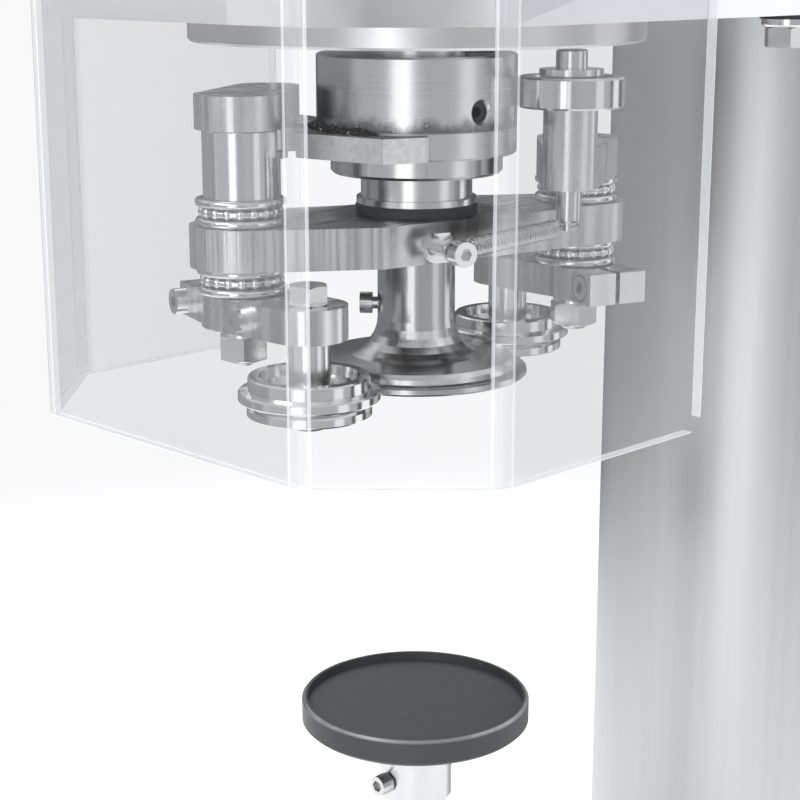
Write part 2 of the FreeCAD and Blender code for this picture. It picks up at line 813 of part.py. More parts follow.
def cross_arm():
    """Roller carrier: a waisted lozenge with round ends at the two pivots."""
    ends = [cylinder(arm_end_radius, arm_bottom, arm_top, V(s * pivot_circle, 0, 0)) for s in (-1, 1)]
    outline = []
    for s in (-1, 1):
        outline += lozenge_half(s)
    body = prism(outline, arm_bottom, arm_top).fuse(ends).removeSplitter()
    body = body.cut(cylinder(sleeve_radius, 0, arm_top + 1))
    for s in (-1, 1):
        bore = cylinder(pivot_radius + running_fit, 0, arm_top + 1, V(s * pivot_circle, 0, 0))
        hole = rod(3, V(s * anchor_x, 0, arm_middle()), V(0, -s, 0), arm_waist_y + 5)
        body = body.cut(bore).cut(hole)
    return on_carrier(body)


def lozenge_half(s):
    """Plan points of one long side: tangent at one end, the widest corner, tangent at the other."""
    corner = V(-s * arm_waist_x, -s * arm_waist_y, 0)
    near = tangent_point(corner, V(-s * pivot_circle, 0, 0), arm_end_radius, 1)
    far = tangent_point(corner, V(s * pivot_circle, 0, 0), arm_end_radius, -1)
    return [(near.x, near.y), (corner.x, corner.y), (far.x, far.y)]


def tangent_point(corner, centre, radius, hand):
    """Where a line from a corner touches a circle, on the chosen hand."""
    away = corner - centre
    spread = math.degrees(math.acos(radius / away.Length))
    heading = math.degrees(math.atan2(away.y, away.x))
    return centre + polar(radius, heading - hand * spread)


def arm_middle():
    """Middle height of the cross arm."""
    return arm_bottom + arm_thickness / 2


def arm_face_y(x):
    """Where the arm's long side lies at a place along the arm."""
    corner = V(-arm_waist_x, -arm_waist_y, 0)
    far = tangent_point(corner, V(pivot_circle, 0, 0), arm_end_radius, -1)
    return corner.y + (far.y - corner.y) * (x - corner.x) / (far.x - corner.x)


def arm_seal_ring():
    """Black grease seal on top of the arm."""
    bevel = 0.8
    top = bearing_ring_bottom
    return on_carrier(turned([(sleeve_radius, arm_top), (seal_radius, arm_top), (seal_radius, top - bevel),
                              (seal_radius - bevel, top), (sleeve_radius, top)]))


def arm_bearing_ring():
    """Bright ring between the seal and the neck."""
    return on_carrier(tube(bearing_ring_radius, sleeve_radius, bearing_ring_bottom, neck_bottom))


def spring_anchor_screws():
    """Long screws on the arm's sides, each with a lock nut and a socket head for the spring eye."""
    screws = []
    for s in (-1, 1):
        face = V(anchor_x, arm_face_y(anchor_x), arm_middle())
        out = V(0, -1, 0)
        tip = face + out * (anchor_reach - 6)
        screw = cap_screw(tip, V(0, 1, 0), 3, anchor_reach - 6 + 14, 1.6)
        lock = hex_rod(6.6, face + out * 6.5, out, 5)
        both = screw.fuse(lock)
        if s < 0:
            both.rotate(V(0, 0, 0), UP, 180)
        screws.append(both)
    return on_carrier(group(screws))


def thrust_bearing(z0):
    """Two washers with a caged row of balls between them, drawn as one ring."""
    play = 0.1
    height = thrust_height - play
    washer = (height - thrust_row) / 2
    inner = pivot_radius + 0.3
    row = (thrust_radius + inner) / 2
    z1 = z0 + height
    low = tube(thrust_radius, inner, z0, z0 + washer, pivot_at)
    high = tube(thrust_radius, inner, z1 - washer, z1, pivot_at)
    half = thrust_row / 2
    section = [polar(half, 22.5 + 45 * i) for i in range(8)]
    flat = half * math.cos(math.radians(22.5))
    balls = turned([(row + p.x, z0 + height / 2 + p.y * half / flat) for p in section], pivot_at)
    return [low, high, balls]


def thrust_pair():
    """Bearings above and below the arm at the rear pivot."""
    return group(thrust_bearing(arm_top) + thrust_bearing(clamp_top + 0.1))


# ---------------------------------------------------------------- cam hub
def cam_plate(z0, turn):
    """Crescent plate: a ramp, a long flat and a short flat back to the hub."""
    high = hub_radius + cam_lift + 2
    ramp = [polar(hub_radius + face_gap + lift, turn + angle) for angle, lift in cam_ramp]
    flats = [polar(high, turn + 27), polar(high - 2.3, turn + 75), polar(hub_radius + 1.2, turn + 95.6)]
    back = [polar(hub_radius - 4, turn + 90 - 10 * i) for i in range(10)]
    return prism([(p.x, p.y) for p in ramp + flats + back], z0, z0 + cam_thickness)


def cam_hub():
    """Cam hub with its two welded crescent plates and its sleeve up to the drive."""
    bore = sleeve_radius + running_fit
    sleeve = hub_sleeve_radius()
    top = floor_top + housing_height + 4
    bevel = 0.8
    body = turned([(bore, hub_bottom), (hub_radius - bevel, hub_bottom), (hub_radius, hub_bottom + bevel),
                   (hub_radius, hub_top - bevel), (hub_radius - bevel, hub_top), (sleeve, hub_top),
                   (sleeve, top), (bore, top)])
    lower = cam_plate(hub_bottom, cam_start)
    upper = cam_plate(rear_follower_bottom + 0.5, cam_start - cam_stagger)
    body = body.fuse([lower, upper])
    start = polar(hub_radius + 1, set_screw_angle) + V(0, 0, set_screw_z())
    out = polar(1, set_screw_angle)
    sink = Part.makeCone(5.6, set_screw_radius, 2.6, start, out * -1)
    return on_carrier(body.cut(rod(set_screw_radius, start, out * -1, 26)).cut(sink))


def set_screw_z():
    """Height of the hub's set screw."""
    return hub_bottom + set_screw_rise


def hub_set_screw():
    """Black socket set screw, sunk below the hub's face."""
    out = polar(1, set_screw_angle)
    start = out * (hub_radius - 3) + V(0, 0, set_screw_z())
    length = hub_radius - 3 - sleeve_radius - 2
    body = rod(set_screw_radius, start, out * -1, length)
    return on_carrier(body.cut(hex_rod(2.3, start, out * -1, 4)))


# ---------------------------------------------------------------- levers, drawn at the rear pivot
def pivot_shaft(top):
    """Pivot shaft with a shoulder washer and a threaded end below."""
    thread = pivot_thread_radius
    profile = [(0, nut_bottom - 2), (thread - 1, nut_bottom - 2), (thread, nut_bottom - 1),
               (thread, clamp_bottom), (pivot_radius, clamp_bottom), (pivot_radius, top - 1),
               (pivot_radius - 1, top), (0, top)]
    return turned(profile, pivot_at)


def pivot_nut(turn):
    """Hexagon nut with a turned shoulder under the clamp."""
    washer = tube(shoulder_radius, pivot_thread_radius, nut_top, clamp_bottom, pivot_at)
    nut = nut_shape(nut_across_flats, nut_bottom, nut_top, pivot_at, turn)
    return washer.fuse(nut.cut(cylinder(pivot_thread_radius, 0, nut_top, pivot_at)))


def spacer_sleeve():
    """Turned sleeve between the thrust bearing and the front lever."""
    bevel = 0.8
    return turned([(pivot_radius, lever_floor), (spacer_radius, lever_floor),
                   (spacer_radius, front_lever_bottom - bevel), (spacer_radius - bevel, front_lever_bottom),
                   (pivot_radius, front_lever_bottom)], pivot_at)


def front_lever_shape():
    """Top lever of the first operation."""
    z0, z1 = front_lever_bottom, front_lever_top
    bar = link(pivot_at, lever_end_radius, follower_at, front_boss_radius, z0, z1)
    bar = bar.cut(cylinder(pivot_radius, 0, front_lever_top + 1, pivot_at))
    return bar.cut(cylinder(follower_pin_radius, 0, front_lever_top + 1, follower_at))


def rear_lever_shape():
    """Lever of the second operation with a tall boss that lifts its follower."""
    bar = link(pivot_at, lever_end_radius, follower_at, rear_boss_radius, lever_floor, rear_lever_top)
    boss = cylinder(rear_boss_radius, lever_floor, rear_follower_bottom - face_gap, follower_at)
    bar = bar.fuse(boss).cut(cylinder(pivot_radius, 0, rear_lever_top + 1, pivot_at))
    return bar.cut(cylinder(follower_pin_radius, 0, rear_follower_top, follower_at))


def follower_bearing(z0, z1):
    """Ball bearing used as a cam follower: one turning ring with grooved side faces."""
    bore = follower_pin_radius + running_fit
    r = follower_radius
    inner = follower_bore_ring
    outer = r - follower_outer_ring
    bevel = 0.8
    low = z0 + follower_shield_dip
    high = z1 - follower_shield_dip
    return turned([(bore, z0), (inner, z0), (inner, low), (outer, low), (outer, z0), (r - bevel, z0),
                   (r, z0 + bevel), (r, z1 - bevel), (r - bevel, z1), (outer, z1), (outer, high),
                   (inner, high), (inner, z1), (bore, z1)], follower_at)


def front_pin():
    """Pin through the front lever and its follower, down to the spring hook."""
    collar_top = front_follower_bottom - face_gap
    r = follower_pin_radius
    return turned(pin_waist() + [(r, collar_top - 4), (r + 3, collar_top - 4), (r + 3, collar_top),
                                 (r, collar_top), (r, front_lever_top), (0, front_lever_top)], follower_at)


def rear_pin():
    """Pin through the rear boss and follower, with a washer and a stud above."""
    low = rear_follower_top + face_gap
    high = low + rear_washer_height
    top = disc_bottom - rear_stud_gap
    stud = follower_pin_radius + 1.2
    washer = rear_washer_radius
    return turned(pin_waist() + [(follower_pin_radius, low), (washer, low), (washer, high), (stud, high),
                                 (stud, top - 0.6), (stud - 0.6, top), (0, top)], follower_at)


def pin_foot():
    """Lower end of both follower pins, where the springs hook on."""
    return arm_top - pin_below_arm_top


def pin_waist():
    """Lower end of a pin's outline, with the waist that the spring's eye goes round."""
    foot = pin_foot()
    waist = pin_waist_radius
    return [(0, foot), (waist, foot), (waist, foot + 3), (follower_pin_radius, foot + 4)]


def roller_arm(head_side):
    """Clamp block on the pivot shaft with a slot, and the arm to the roller's eye."""
    half = clamp_width / 2
    block = Part.makeBox(clamp_width, clamp_reach + 6, roller_arm_thickness,
                         V(pivot_circle - half, -clamp_reach, clamp_bottom))
    body = block.fuse([link(pivot_at, lever_end_radius - 1, roller_at, eye_radius, clamp_bottom, clamp_top)])
    slot = Part.makeBox(clamp_slot, clamp_reach + 1, roller_arm_thickness + 2,
                        V(pivot_circle - clamp_slot / 2, -clamp_reach - 1, clamp_bottom - 1))
    body = body.removeSplitter().cut(slot)
    body = body.cut(cylinder(pivot_radius, 0, clamp_top + 1, pivot_at))
    body = body.cut(cylinder(roller_shaft_radius, 0, clamp_top + 1, roller_at))
    side = clamp_screw_at() - V(half + 1, 0, 0)
    body = body.cut(rod(clamp_thread_radius, side, V(1, 0, 0), clamp_width + 2))
    if head_side < 0:
        body = body.cut(rod(clamp_thread_radius * 1.7 + 0.5, side, V(1, 0, 0), clamp_sink + 1))
    return body.cut(rod(lock_thread_radius, lock_start(), lock_in(), lock_length + 0.5))


def clamp_screw_at():
    """Middle of the clamp screw, in the slot."""
    return V(pivot_circle, clamp_screw_in - clamp_reach, clamp_bottom + roller_arm_thickness / 2)


def lock_in():
    """Way the eccentric's lock screw points: square to the arm's outer side, towards the eye."""
    along = roller_at - pivot_at
    heading = math.degrees(math.atan2(along.y, along.x))
    lean = math.degrees(math.acos((lever_end_radius - 1 - eye_radius) / along.Length))
    return polar(-1, heading - lean)


def lock_start():
    """Where the lock screw enters the arm's outer side."""
    middle = pivot_at + (roller_at - pivot_at) * 0.45
    return middle - lock_in() * (eye_radius + 0.55) + V(0, 0, clamp_bottom + roller_arm_thickness / 2)


def clamp_screws(head_side):
    """Socket screw across the slot and the lock screw of the eccentric shaft."""
    half = clamp_width / 2
    sunk = clamp_sink if head_side < 0 else 0.0
    start = clamp_screw_at() + V(head_side * (half - sunk), 0, 0)
    clamp = cap_screw(start, V(-head_side, 0, 0), clamp_thread_radius, clamp_width - sunk + 1.5)
    lock = cap_screw(lock_start(), lock_in(), lock_thread_radius, lock_length, 1.8)
    return group([clamp, lock])


def roller_shaft():
    """Eccentric roller shaft with a tall hexagon head on the eye."""
    head = nut_shape(eccentric_hexagon, clamp_top, clamp_top + eccentric_head, roller_at, 8)
    low = roller_bottom - face_gap
    shoulder = roller_floor + face_gap
    wide = roller_shaft_radius
    narrow = wide - 2
    shaft = turned([(0, low), (narrow, low), (narrow, shoulder), (wide, shoulder), (wide, clamp_top),
                    (0, clamp_top)], roller_at)
    screw_hole = cylinder(roller_thread_radius, 0, roller_bottom + 8, roller_at)
    return head.fuse(shaft).cut(screw_hole)


def roller_screw():
    """Black socket screw that keeps the roller on its shaft."""
    top = roller_bottom - face_gap
    low = top - roller_screw_head
    r = roller_screw_radius
    head = turned([(0, low), (r - 0.8, low), (r, low + 0.8), (r, top), (0, top)], roller_at)
    shank = cylinder(roller_thread_radius, top, roller_bottom + 7, roller_at)
    return head.fuse(shank).cut(hexagon(6, low - 1, low + roller_screw_head / 2, roller_at))


def seaming_roller(groove_depth):
    """Seaming roller: upper rim with a recessed top, wide flange, seaming groove and lower rim."""
    bore = roller_shaft_radius - 2 + running_fit
    z = roller_bottom
    lower_top = z + roller_lower
    flange_low = flange_bottom
    flange_top = flange_low + roller_flange
    groove = roller_groove_radius - groove_depth
    wide = roller_flange_radius
    rim = roller_rim_radius
    rim_width = 4.2
    bevel = 0.6
    profile = [(bore, z), (roller_lower_radius - bevel, z), (roller_lower_radius, z + bevel),
               (roller_lower_radius, lower_top - bevel), (groove + 0.8, lower_top), (groove, lower_top + 0.7),
               (groove, flange_low - 0.7), (groove + 0.8, flange_low), (wide - bevel, flange_low),
               (wide, flange_low + bevel), (wide, flange_top - bevel), (wide - bevel, flange_top),
               (rim, flange_top + 0.5), (rim, roller_top - bevel), (rim - bevel, roller_top),
               (rim - rim_width, roller_top), (rim - rim_width - 0.6, roller_floor), (bore, roller_floor)]
    return turned(profile, roller_at)


def hook_tip():
    """Top of the waist on the follower pin that the spring's eye goes round."""
    return V(follower_at.x, follower_at.y, pin_foot() + 1.5)


def spring_shape():
    """Extension spring: the close-wound coil as one round body, and its two hooks."""
    start = V(anchor_x, arm_face_y(anchor_x) - anchor_eye, arm_middle())
    end = hook_tip()
    along = end - start
    span = along.Length
    along.normalize()
    eye = 3.7
    hook = 1.0
    coil = rod(spring_radius, start + along * 9, along, span - 18)
    core = rod(spring_radius - 2, start + along * 8, along, span - 16)
    near = rod(hook, start + along * eye, along, 10 - eye)
    far = rod(hook, start + along * (span - 10), along, 10 - eye - 1)
    return coil.cut(core).fuse([near, far, rod(spring_radius - 0.5, start + along * 9, along, 1.4),
                                rod(spring_radius - 0.5, start + along * (span - 10.4), along, 1.4)])


# ---------------------------------------------------------------- nodes
def machine_nodes():
    """Pieces that stand still, the lift and the controls."""
    return {
        "base_housing": base_housing(), "rubber_feet": rubber_feet(),
        "column_tube": column_tube(), "column_flange": column_flange(),
        "head_housing": head_housing(), "head_floor": head_floor(),
        "mounting_disc": mounting_disc(), "guard": guard(), "guard_screws": guard_screws(),
        "drain_plug": drain_plug(), "drain_washer": drain_washer(),
        "bearing_housing": bearing_housing(), "fixed_shaft": fixed_shaft(),
        "seaming_chuck": seaming_chuck(), "chuck_screw": chuck_screw(),
        "lift_guide_bush": lift_guide_bush(), "lift_actuator": lift_actuator(),
        "lift_shaft": lift_shaft(), "can_tray": can_tray(), "tray_screw": tray_screw(),
        "drive_motor": drive_motor(), "motor_pulley": motor_pulley(), "drive_belt": drive_belt(),
        "button_collars": button_collars(), "e_stop_button": e_stop_button(),
        "start_button": start_button(), "power_rocker": power_rocker(),
    }


def carrier_nodes():
    """Pieces that turn with the roller carrier, and the cam hub."""
    return {
        "carrier_sleeve": carrier_sleeve(), "carrier_pulley": carrier_pulley(),
        "cross_arm": cross_arm(), "arm_seal_ring": arm_seal_ring(),
        "arm_bearing_ring": arm_bearing_ring(), "spring_anchor_screws": spring_anchor_screws(),
        "cam_hub": cam_hub(), "hub_set_screw": hub_set_screw(),
    }


def lever_nodes(name, half, lever, pin, lever_top, follower_z, head_side, groove_depth):
    """One seaming station: lever, clamp, follower, roller and return spring."""
    return {
        name + "_thrust_bearings": half(thrust_pair()),
        name + "_pivot_shaft": half(pivot_shaft(lever_top)),
        name + "_top_lever": half(lever),
        name + "_follower_pin": half(pin),
        name + "_roller_arm": half(roller_arm(head_side)),
        name + "_clamp_screws": half(clamp_screws(head_side)),
        name + "_pivot_nut": half(pivot_nut(8)),
        name + "_roller_shaft": half(roller_shaft()),
        name + "_roller_screw": half(roller_screw()),
        name + "_seaming_roller": half(seaming_roller(groove_depth)),
        name + "_cam_follower": half(follower_bearing(*follower_z)),
        name + "_return_spring": half(spring_shape()),
    }


def build():
    """Write one STEP file for each node."""
    os.makedirs("parts", exist_ok=True)
    nodes = machine_nodes()
    nodes.update(carrier_nodes())
    nodes["front_spacer_sleeve"] = on_front_half(spacer_sleeve())
    nodes.update(lever_nodes("front", on_front_half, front_lever_shape(), front_pin(), front_lever_top,
                             (front_follower_bottom, front_follower_top), 1, 0.0))
    nodes.update(lever_nodes("rear", on_carrier, rear_lever_shape(), rear_pin(), rear_lever_top,
                             (rear_follower_bottom, rear_follower_top), -1, 0.8))
    for name, shape in nodes.items():
        shape.exportStep(os.path.join("parts", name + ".step"))
    print(len(nodes), "nodes written")


build()
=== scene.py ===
# %% [markdown]
# # Dressing a can seamer
# A can seamer closes a metal end onto a can or jar. The can stands still on a tray, a fixed chuck holds its
# end, and two small hard rollers travel round it and fold the seam. Everything that turns hangs under a
# white sheet-steel head, behind a clear bent guard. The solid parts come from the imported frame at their
# real size and place. This lesson gives each one its finish and adds what a solid model leaves plain:
# balls, springs, weld, knurling and grease.

# %% Load the frame
import math

import bmesh
import bpy
from mathutils import Matrix, Vector, noise


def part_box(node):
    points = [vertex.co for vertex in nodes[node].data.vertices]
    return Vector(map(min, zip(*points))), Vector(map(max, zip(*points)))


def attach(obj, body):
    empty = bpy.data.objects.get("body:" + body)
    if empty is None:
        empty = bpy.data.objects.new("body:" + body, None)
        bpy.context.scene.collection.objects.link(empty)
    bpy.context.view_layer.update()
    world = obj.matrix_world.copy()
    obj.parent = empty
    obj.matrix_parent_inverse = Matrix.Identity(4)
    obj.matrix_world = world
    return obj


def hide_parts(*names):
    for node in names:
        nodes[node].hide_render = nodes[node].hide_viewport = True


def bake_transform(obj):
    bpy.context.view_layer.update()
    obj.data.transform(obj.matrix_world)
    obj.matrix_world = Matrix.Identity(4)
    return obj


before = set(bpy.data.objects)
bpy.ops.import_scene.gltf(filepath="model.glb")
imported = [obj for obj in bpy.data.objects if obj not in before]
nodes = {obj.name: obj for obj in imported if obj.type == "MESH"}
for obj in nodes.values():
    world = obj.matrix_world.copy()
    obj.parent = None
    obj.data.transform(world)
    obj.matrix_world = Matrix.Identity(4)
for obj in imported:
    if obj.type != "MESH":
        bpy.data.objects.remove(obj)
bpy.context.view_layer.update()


# %% [markdown]
# ## Where things are
# Every place in this lesson is read from the frame, so nothing has to be fitted by eye. The seaming axis is
# the middle of the fixed shaft. Each station has a pivot, a roller and a follower, and each of those is the
# middle of a round piece.

# %% Places read from the frame
def middle(node):
    """Middle of a node's box."""
    low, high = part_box(node)
    return (Vector(low) + Vector(high)) / 2


def low_z(node):
    """Lowest height of a node."""
    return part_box(node)[0][2]


def high_z(node):
    """Highest height of a node."""
    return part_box(node)[1][2]


MM = 0.001
corner_leg = 49 * MM          # how far the guard's corner panels run along each side
stations = ("front", "rear")
seaming_axis = middle("fixed_shaft")
column_axis = middle("column_tube")
pivots = {s: middle(s + "_pivot_shaft") for s in stations}
rollers = {s: middle(s + "_seaming_roller") for s in stations}
followers = {s: middle(s + "_cam_follower") for s in stations}
arm_direction = (pivots["rear"] - pivots["front"]).normalized()
arm_heading = math.atan2(arm_direction.y, arm_direction.x)
arm_low, arm_high = low_z("cross_arm"), high_z("cross_arm")
hub_low = low_z("cam_hub")
hub_middle = Vector((seaming_axis.x, seaming_axis.y, 0))
hub_points = [Vector(v.co) - hub_middle for v in nodes["cam_hub"].data.vertices]
plate_reach = 11 * MM         # the lower cam plate lies within this height of the hub's foot
hub_side = 42 * MM            # and outside this radius, clear of the hub itself
plate_points = [p for p in hub_points if p.z < hub_low + plate_reach and p.to_2d().length > hub_side]
plate_top = max(p.z for p in plate_points)
plate_middle = sum((p.to_2d() for p in plate_points), Vector((0, 0)))
plate_heading = math.atan2(plate_middle.y, plate_middle.x)
plate_turns = [math.atan2(p.y, p.x) - plate_heading + math.pi for p in plate_points]
plate_half = max(abs(t % (2 * math.pi) - math.pi) for t in plate_turns)
print("seaming axis", tuple(round(v, 4) for v in seaming_axis))
print("arm heading", round(math.degrees(arm_heading), 1))


# %% [markdown]
# ## A small language for shader maths
# Node trees get hard to read when every sum is four lines long. One small class wraps a socket and
# overloads the operators, so that a rule such as `1 - wear * 0.5` reads as it would on paper and adds its
# own Math nodes.

# %% Sockets that can be added and multiplied
class Value:
    """A number socket that understands + - * / and a few shaping words."""

    def __init__(self, finish, socket):
        self.finish = finish
        self.socket = socket

    def math(self, operation, *others):
        return self.finish.math(operation, self, *others)

    def __add__(self, other):
        return self.math("ADD", other)

    __radd__ = __add__

    def __mul__(self, other):
        return self.math("MULTIPLY", other)

    __rmul__ = __mul__

    def __sub__(self, other):
        return self.math("SUBTRACT", other)

    def __rsub__(self, other):
        return self.finish.math("SUBTRACT", other, self)

    def __truediv__(self, other):
        return self.math("DIVIDE", other)

    def above(self, edge, soft):
        """0 below edge, 1 above edge + soft, smooth between."""
        settings = {"interpolation_type": "SMOOTHSTEP"}
        return self.finish.add("ShaderNodeMapRange", settings, self, edge, edge + soft, 0.0, 1.0)

    def between(self, low, high, soft):
        """1 between two edges and 0 outside, smooth on both sides."""
        return self.above(low - soft, soft) * (1 - self.above(high, soft))


class Nodes:
    """A node tree and the words that add nodes to it."""

    def __init__(self, tree):
        self.tree = tree

    def add(self, kind, settings=None, *inputs, out=0, **named):
        """Adds a node, sets its settings first, then its sockets in order or by name."""
        node = self.tree.nodes.new(kind)
        for key, value in (settings or {}).items():
            setattr(node, key, value)
        for socket, value in zip(node.inputs, inputs):
            self.feed(socket, value)
        for key, value in named.items():
            self.feed(node.inputs[key.replace("_", " ")], value)
        return Value(self, node.outputs[out])

    def feed(self, socket, value):
        if isinstance(value, Value):
            self.tree.links.new(value.socket, socket)
        else:
            socket.default_value = value

    def math(self, operation, *values):
        """A Math node, by the name of its operation."""
        return self.add("ShaderNodeMath", {"operation": operation}, *values)

    def distance(self, x, y):
        """Length of the line to a point that is x and y away."""
        return self.math("SQRT", x * x + y * y)

    def parts_of(self, vector):
        """The three numbers of a vector."""
        node = self.tree.nodes.new("ShaderNodeSeparateXYZ")
        self.tree.links.new(vector.socket, node.inputs[0])
        return [Value(self, output) for output in node.outputs]


class Finish(Nodes):
    """One material: a Principled shader and helpers that add nodes to it."""

    def __init__(self, name, **sockets):
        self.material = bpy.data.materials.new(name)
        self.material.use_nodes = True
        super().__init__(self.material.node_tree)
        self.shader = self.tree.nodes["Principled BSDF"]
        for key, value in sockets.items():
            self.set(key.replace("_", " "), value)

    def set(self, name, value):
        """Feeds one socket of the shader."""
        self.feed(self.shader.inputs[name], value)

    def place(self):
        """Object coordinates: metres in the machine's own frame."""
        return self.add("ShaderNodeTexCoord", out=3)

    def stretched(self, scale, centre=(0, 0, 0), turn=0.0):
        """Object coordinates moved to a centre, turned about Z, then scaled."""
        moved = self.add("ShaderNodeVectorMath", {"operation": "SUBTRACT"}, self.place(), tuple(centre))
        turned = self.add("ShaderNodeMapping", None, moved, (0, 0, 0), (0, 0, -turn), scale)
        return turned

    def noise(self, vector, detail=3.0, rough=0.55, scale=1.0):
        """Soft random value from 0 to 1."""
        settings = {"noise_dimensions": "3D"}
        return self.add("ShaderNodeTexNoise", settings, Vector=vector, Scale=scale, Detail=detail,
                        Roughness=rough)

    def mix(self, factor, first, second):
        """Colour mix."""
        node = self.tree.nodes.new("ShaderNodeMix")
        node.data_type = "RGBA"
        self.feed(node.inputs[0], factor)
        self.feed(node.inputs[6], first)
        self.feed(node.inputs[7], second)
        return Value(self, node.outputs[2])

    def bump(self, height, strength, distance):
        """Raises the surface by a height pattern."""
        bump = self.add("ShaderNodeBump", None, Height=height, Strength=strength, Distance=distance)
        self.set("Normal", bump)


def grey(level, warm=0.0):
    """A near-neutral colour, a touch warm or cool."""
    return (level * (1 + warm), level, level * (1 - warm), 1.0)


# %% [markdown]
# ## Bright turned steel
# A lathe leaves fine rings round a part's own axis. On a round side the rings stack up the height, and on a
# flat end they spread outwards. Both are one rule: noise read along (radius + height). Each round piece
# therefore gets its own copy of the finish, centred on its own axis. A little broad noise dulls the shine
# where hands and oil have been.

# %% Turned steel
def turned_steel(name, centre, level=0.62, rough=0.2, rings=900.0, marks=0.10, warm=0.004):
    """Lathe-turned steel about an upright axis."""
    f = Finish(name, Metallic=1.0)
    x, y, z = f.parts_of(f.stretched((1, 1, 1), (centre[0], centre[1], 0)))
    radius = f.distance(x, y)
    along = f.add("ShaderNodeCombineXYZ", None, (radius + z) * rings, 0.0, 0.0)
    ring = f.noise(along, 2.0)
    smudge = f.noise(f.stretched((38, 38, 22)), 4.0, 0.6)
    fine = f.noise(f.stretched((420, 420, 420)), 2.0)
    f.set("Roughness", rough + (ring - 0.5) * marks + smudge.above(0.45, 0.3) * 0.08)
    f.set("Base Color", f.mix(ring, grey(level * 0.94, warm), grey(min(1.0, level * 1.06), warm)))
    f.bump(ring * 0.8 + fine * 0.2, 0.12, 0.00006)
    return f.material


# %% [markdown]
# ## Milled and plated steel
# The cross arm and levers are cut with a milling cutter. Its sides keep upright chatter marks, which run on
# across its top. Small bought parts such as nuts, screws and clamps are plated: smoother, brighter and
# slightly warm.

# %% Milled and plated steel
def milled_steel(name, turn, level=0.6, rough=0.24, lines=950.0, grease=0.0):
    """Steel with upright cutter marks on its sides, turned to the part's own length."""
    f = Finish(name, Metallic=1.0)
    chatter = f.noise(f.stretched((lines, 30, 10), seaming_axis, turn), 1.0, 0.4).above(0.3, 0.4)
    band = f.noise(f.stretched((90, 20, 6), seaming_axis, turn), 2.0)
    smudge = f.noise(f.stretched((45, 45, 45)), 4.0, 0.62)
    x, y, z = f.parts_of(f.stretched((1, 1, 1), (seaming_axis[0], seaming_axis[1], 0)))
    radius = f.distance(x, y)
    smear = (1 - (radius + (smudge - 0.5) * 0.022).above(0.028, 0.012)) * grease
    speck = f.noise(f.stretched((240, 240, 240)), 2.0).above(0.66, 0.06) * smudge.above(0.5, 0.2)
    dark = f.math("MAXIMUM", smear, speck * 0.35)
    f.set("Roughness", rough + chatter * 0.12 + smudge.above(0.5, 0.3) * 0.1)
    steel = f.mix(chatter * 0.6 + band * 0.4, grey(level * 0.7), grey(min(1, level * 1.2), 0.004))
    f.set("Base Color", f.mix(dark, steel, (0.05, 0.045, 0.04, 1)))
    f.bump(chatter, 0.5, 0.00012)
    return f.material


def plated_steel(name, level=0.68, rough=0.16, warm=0.006):
    """Nickel or zinc plating: bright, with a faint cloudiness."""
    f = Finish(name, Metallic=1.0)
    cloud = f.noise(f.stretched((70, 70, 70)), 4.0, 0.6)
    grain = f.noise(f.stretched((600, 600, 600)), 2.0)
    f.set("Roughness", rough + cloud.above(0.4, 0.35) * 0.1 + grain * 0.03)
    f.set("Base Color", f.mix(cloud, grey(level * 0.92, warm), grey(min(1, level * 1.05), warm)))
    f.bump(grain * 0.4 + cloud * 0.6, 0.06, 0.0001)
    return f.material


# %% [markdown]
# ## The polished column
# The column is a stainless tube polished round and round, then wiped down. Seen close it has a very fine
# satin grain along its length, so it mirrors its surroundings as long soft upright streaks.

# %% Polished stainless tube
def polished_tube(name, centre):
    """Satin-polished stainless tube."""
    f = Finish(name, Metallic=1.0)
    x, y, z = f.parts_of(f.stretched((1, 1, 1), (centre[0], centre[1], 0)))
    angle = f.math("ARCTAN2", y, x)
    grain = f.noise(f.add("ShaderNodeCombineXYZ", None, angle * 160, z * 9, 0.0), 3.0, 0.6)
    broad = f.noise(f.add("ShaderNodeCombineXYZ", None, angle * 3, z * 1.2, 4.0), 2.0)
    streak = f.noise(f.add("ShaderNodeCombineXYZ", None, angle * 14, z * 0.4, 9.0), 3.0, 0.5)
    f.set("Roughness", 0.34 + grain * 0.06 + broad * 0.06)
    f.set("Base Color", f.mix(streak * 0.6 + broad * 0.4, grey(0.44, -0.01), grey(0.60, -0.01)))
    f.bump(grain, 0.05, 0.00008)
    return f.material


# %% [markdown]
# ## Paint, rubber, plastic and black oxide
# Powder coat is plastic melted onto steel. It dries with a faint orange peel, so its highlights wander a
# little. Rubber and moulded plastic are duller. Black oxide is a thin dark skin on steel.

# %% Coats and mouldings
def powder_coat(name, level=0.87, cool=0.012):
    """White powder coat with a faint orange peel."""
    f = Finish(name, Metallic=0.0)
    peel = f.noise(f.stretched((330, 330, 330)), 2.0, 0.5)
    cloud = f.noise(f.stretched((6, 6, 6)), 3.0)
    f.set("Base Color", f.mix(cloud, grey(level * 0.985, -cool), grey(level, -cool)))
    f.set("Roughness", 0.30 + peel * 0.06 + cloud * 0.04)
    f.set("Coat Weight", 0.25)
    f.bump(peel, 0.08, 0.0003)
    return f.material


def moulding(name, colour, rough=0.42, grain_scale=900.0, depth=0.12):
    """Moulded plastic or rubber with a fine texture."""
    f = Finish(name, Metallic=0.0)
    grain = f.noise(f.stretched((grain_scale,) * 3), 2.0)
    cloud = f.noise(f.stretched((30, 30, 30)), 3.0)
    darker = tuple(c * 0.82 for c in colour[:3]) + (1.0,)
    f.set("Base Color", f.mix(cloud, darker, colour))
    f.set("Roughness", rough + grain * 0.12)
    f.bump(grain, depth, 0.0001)
    return f.material


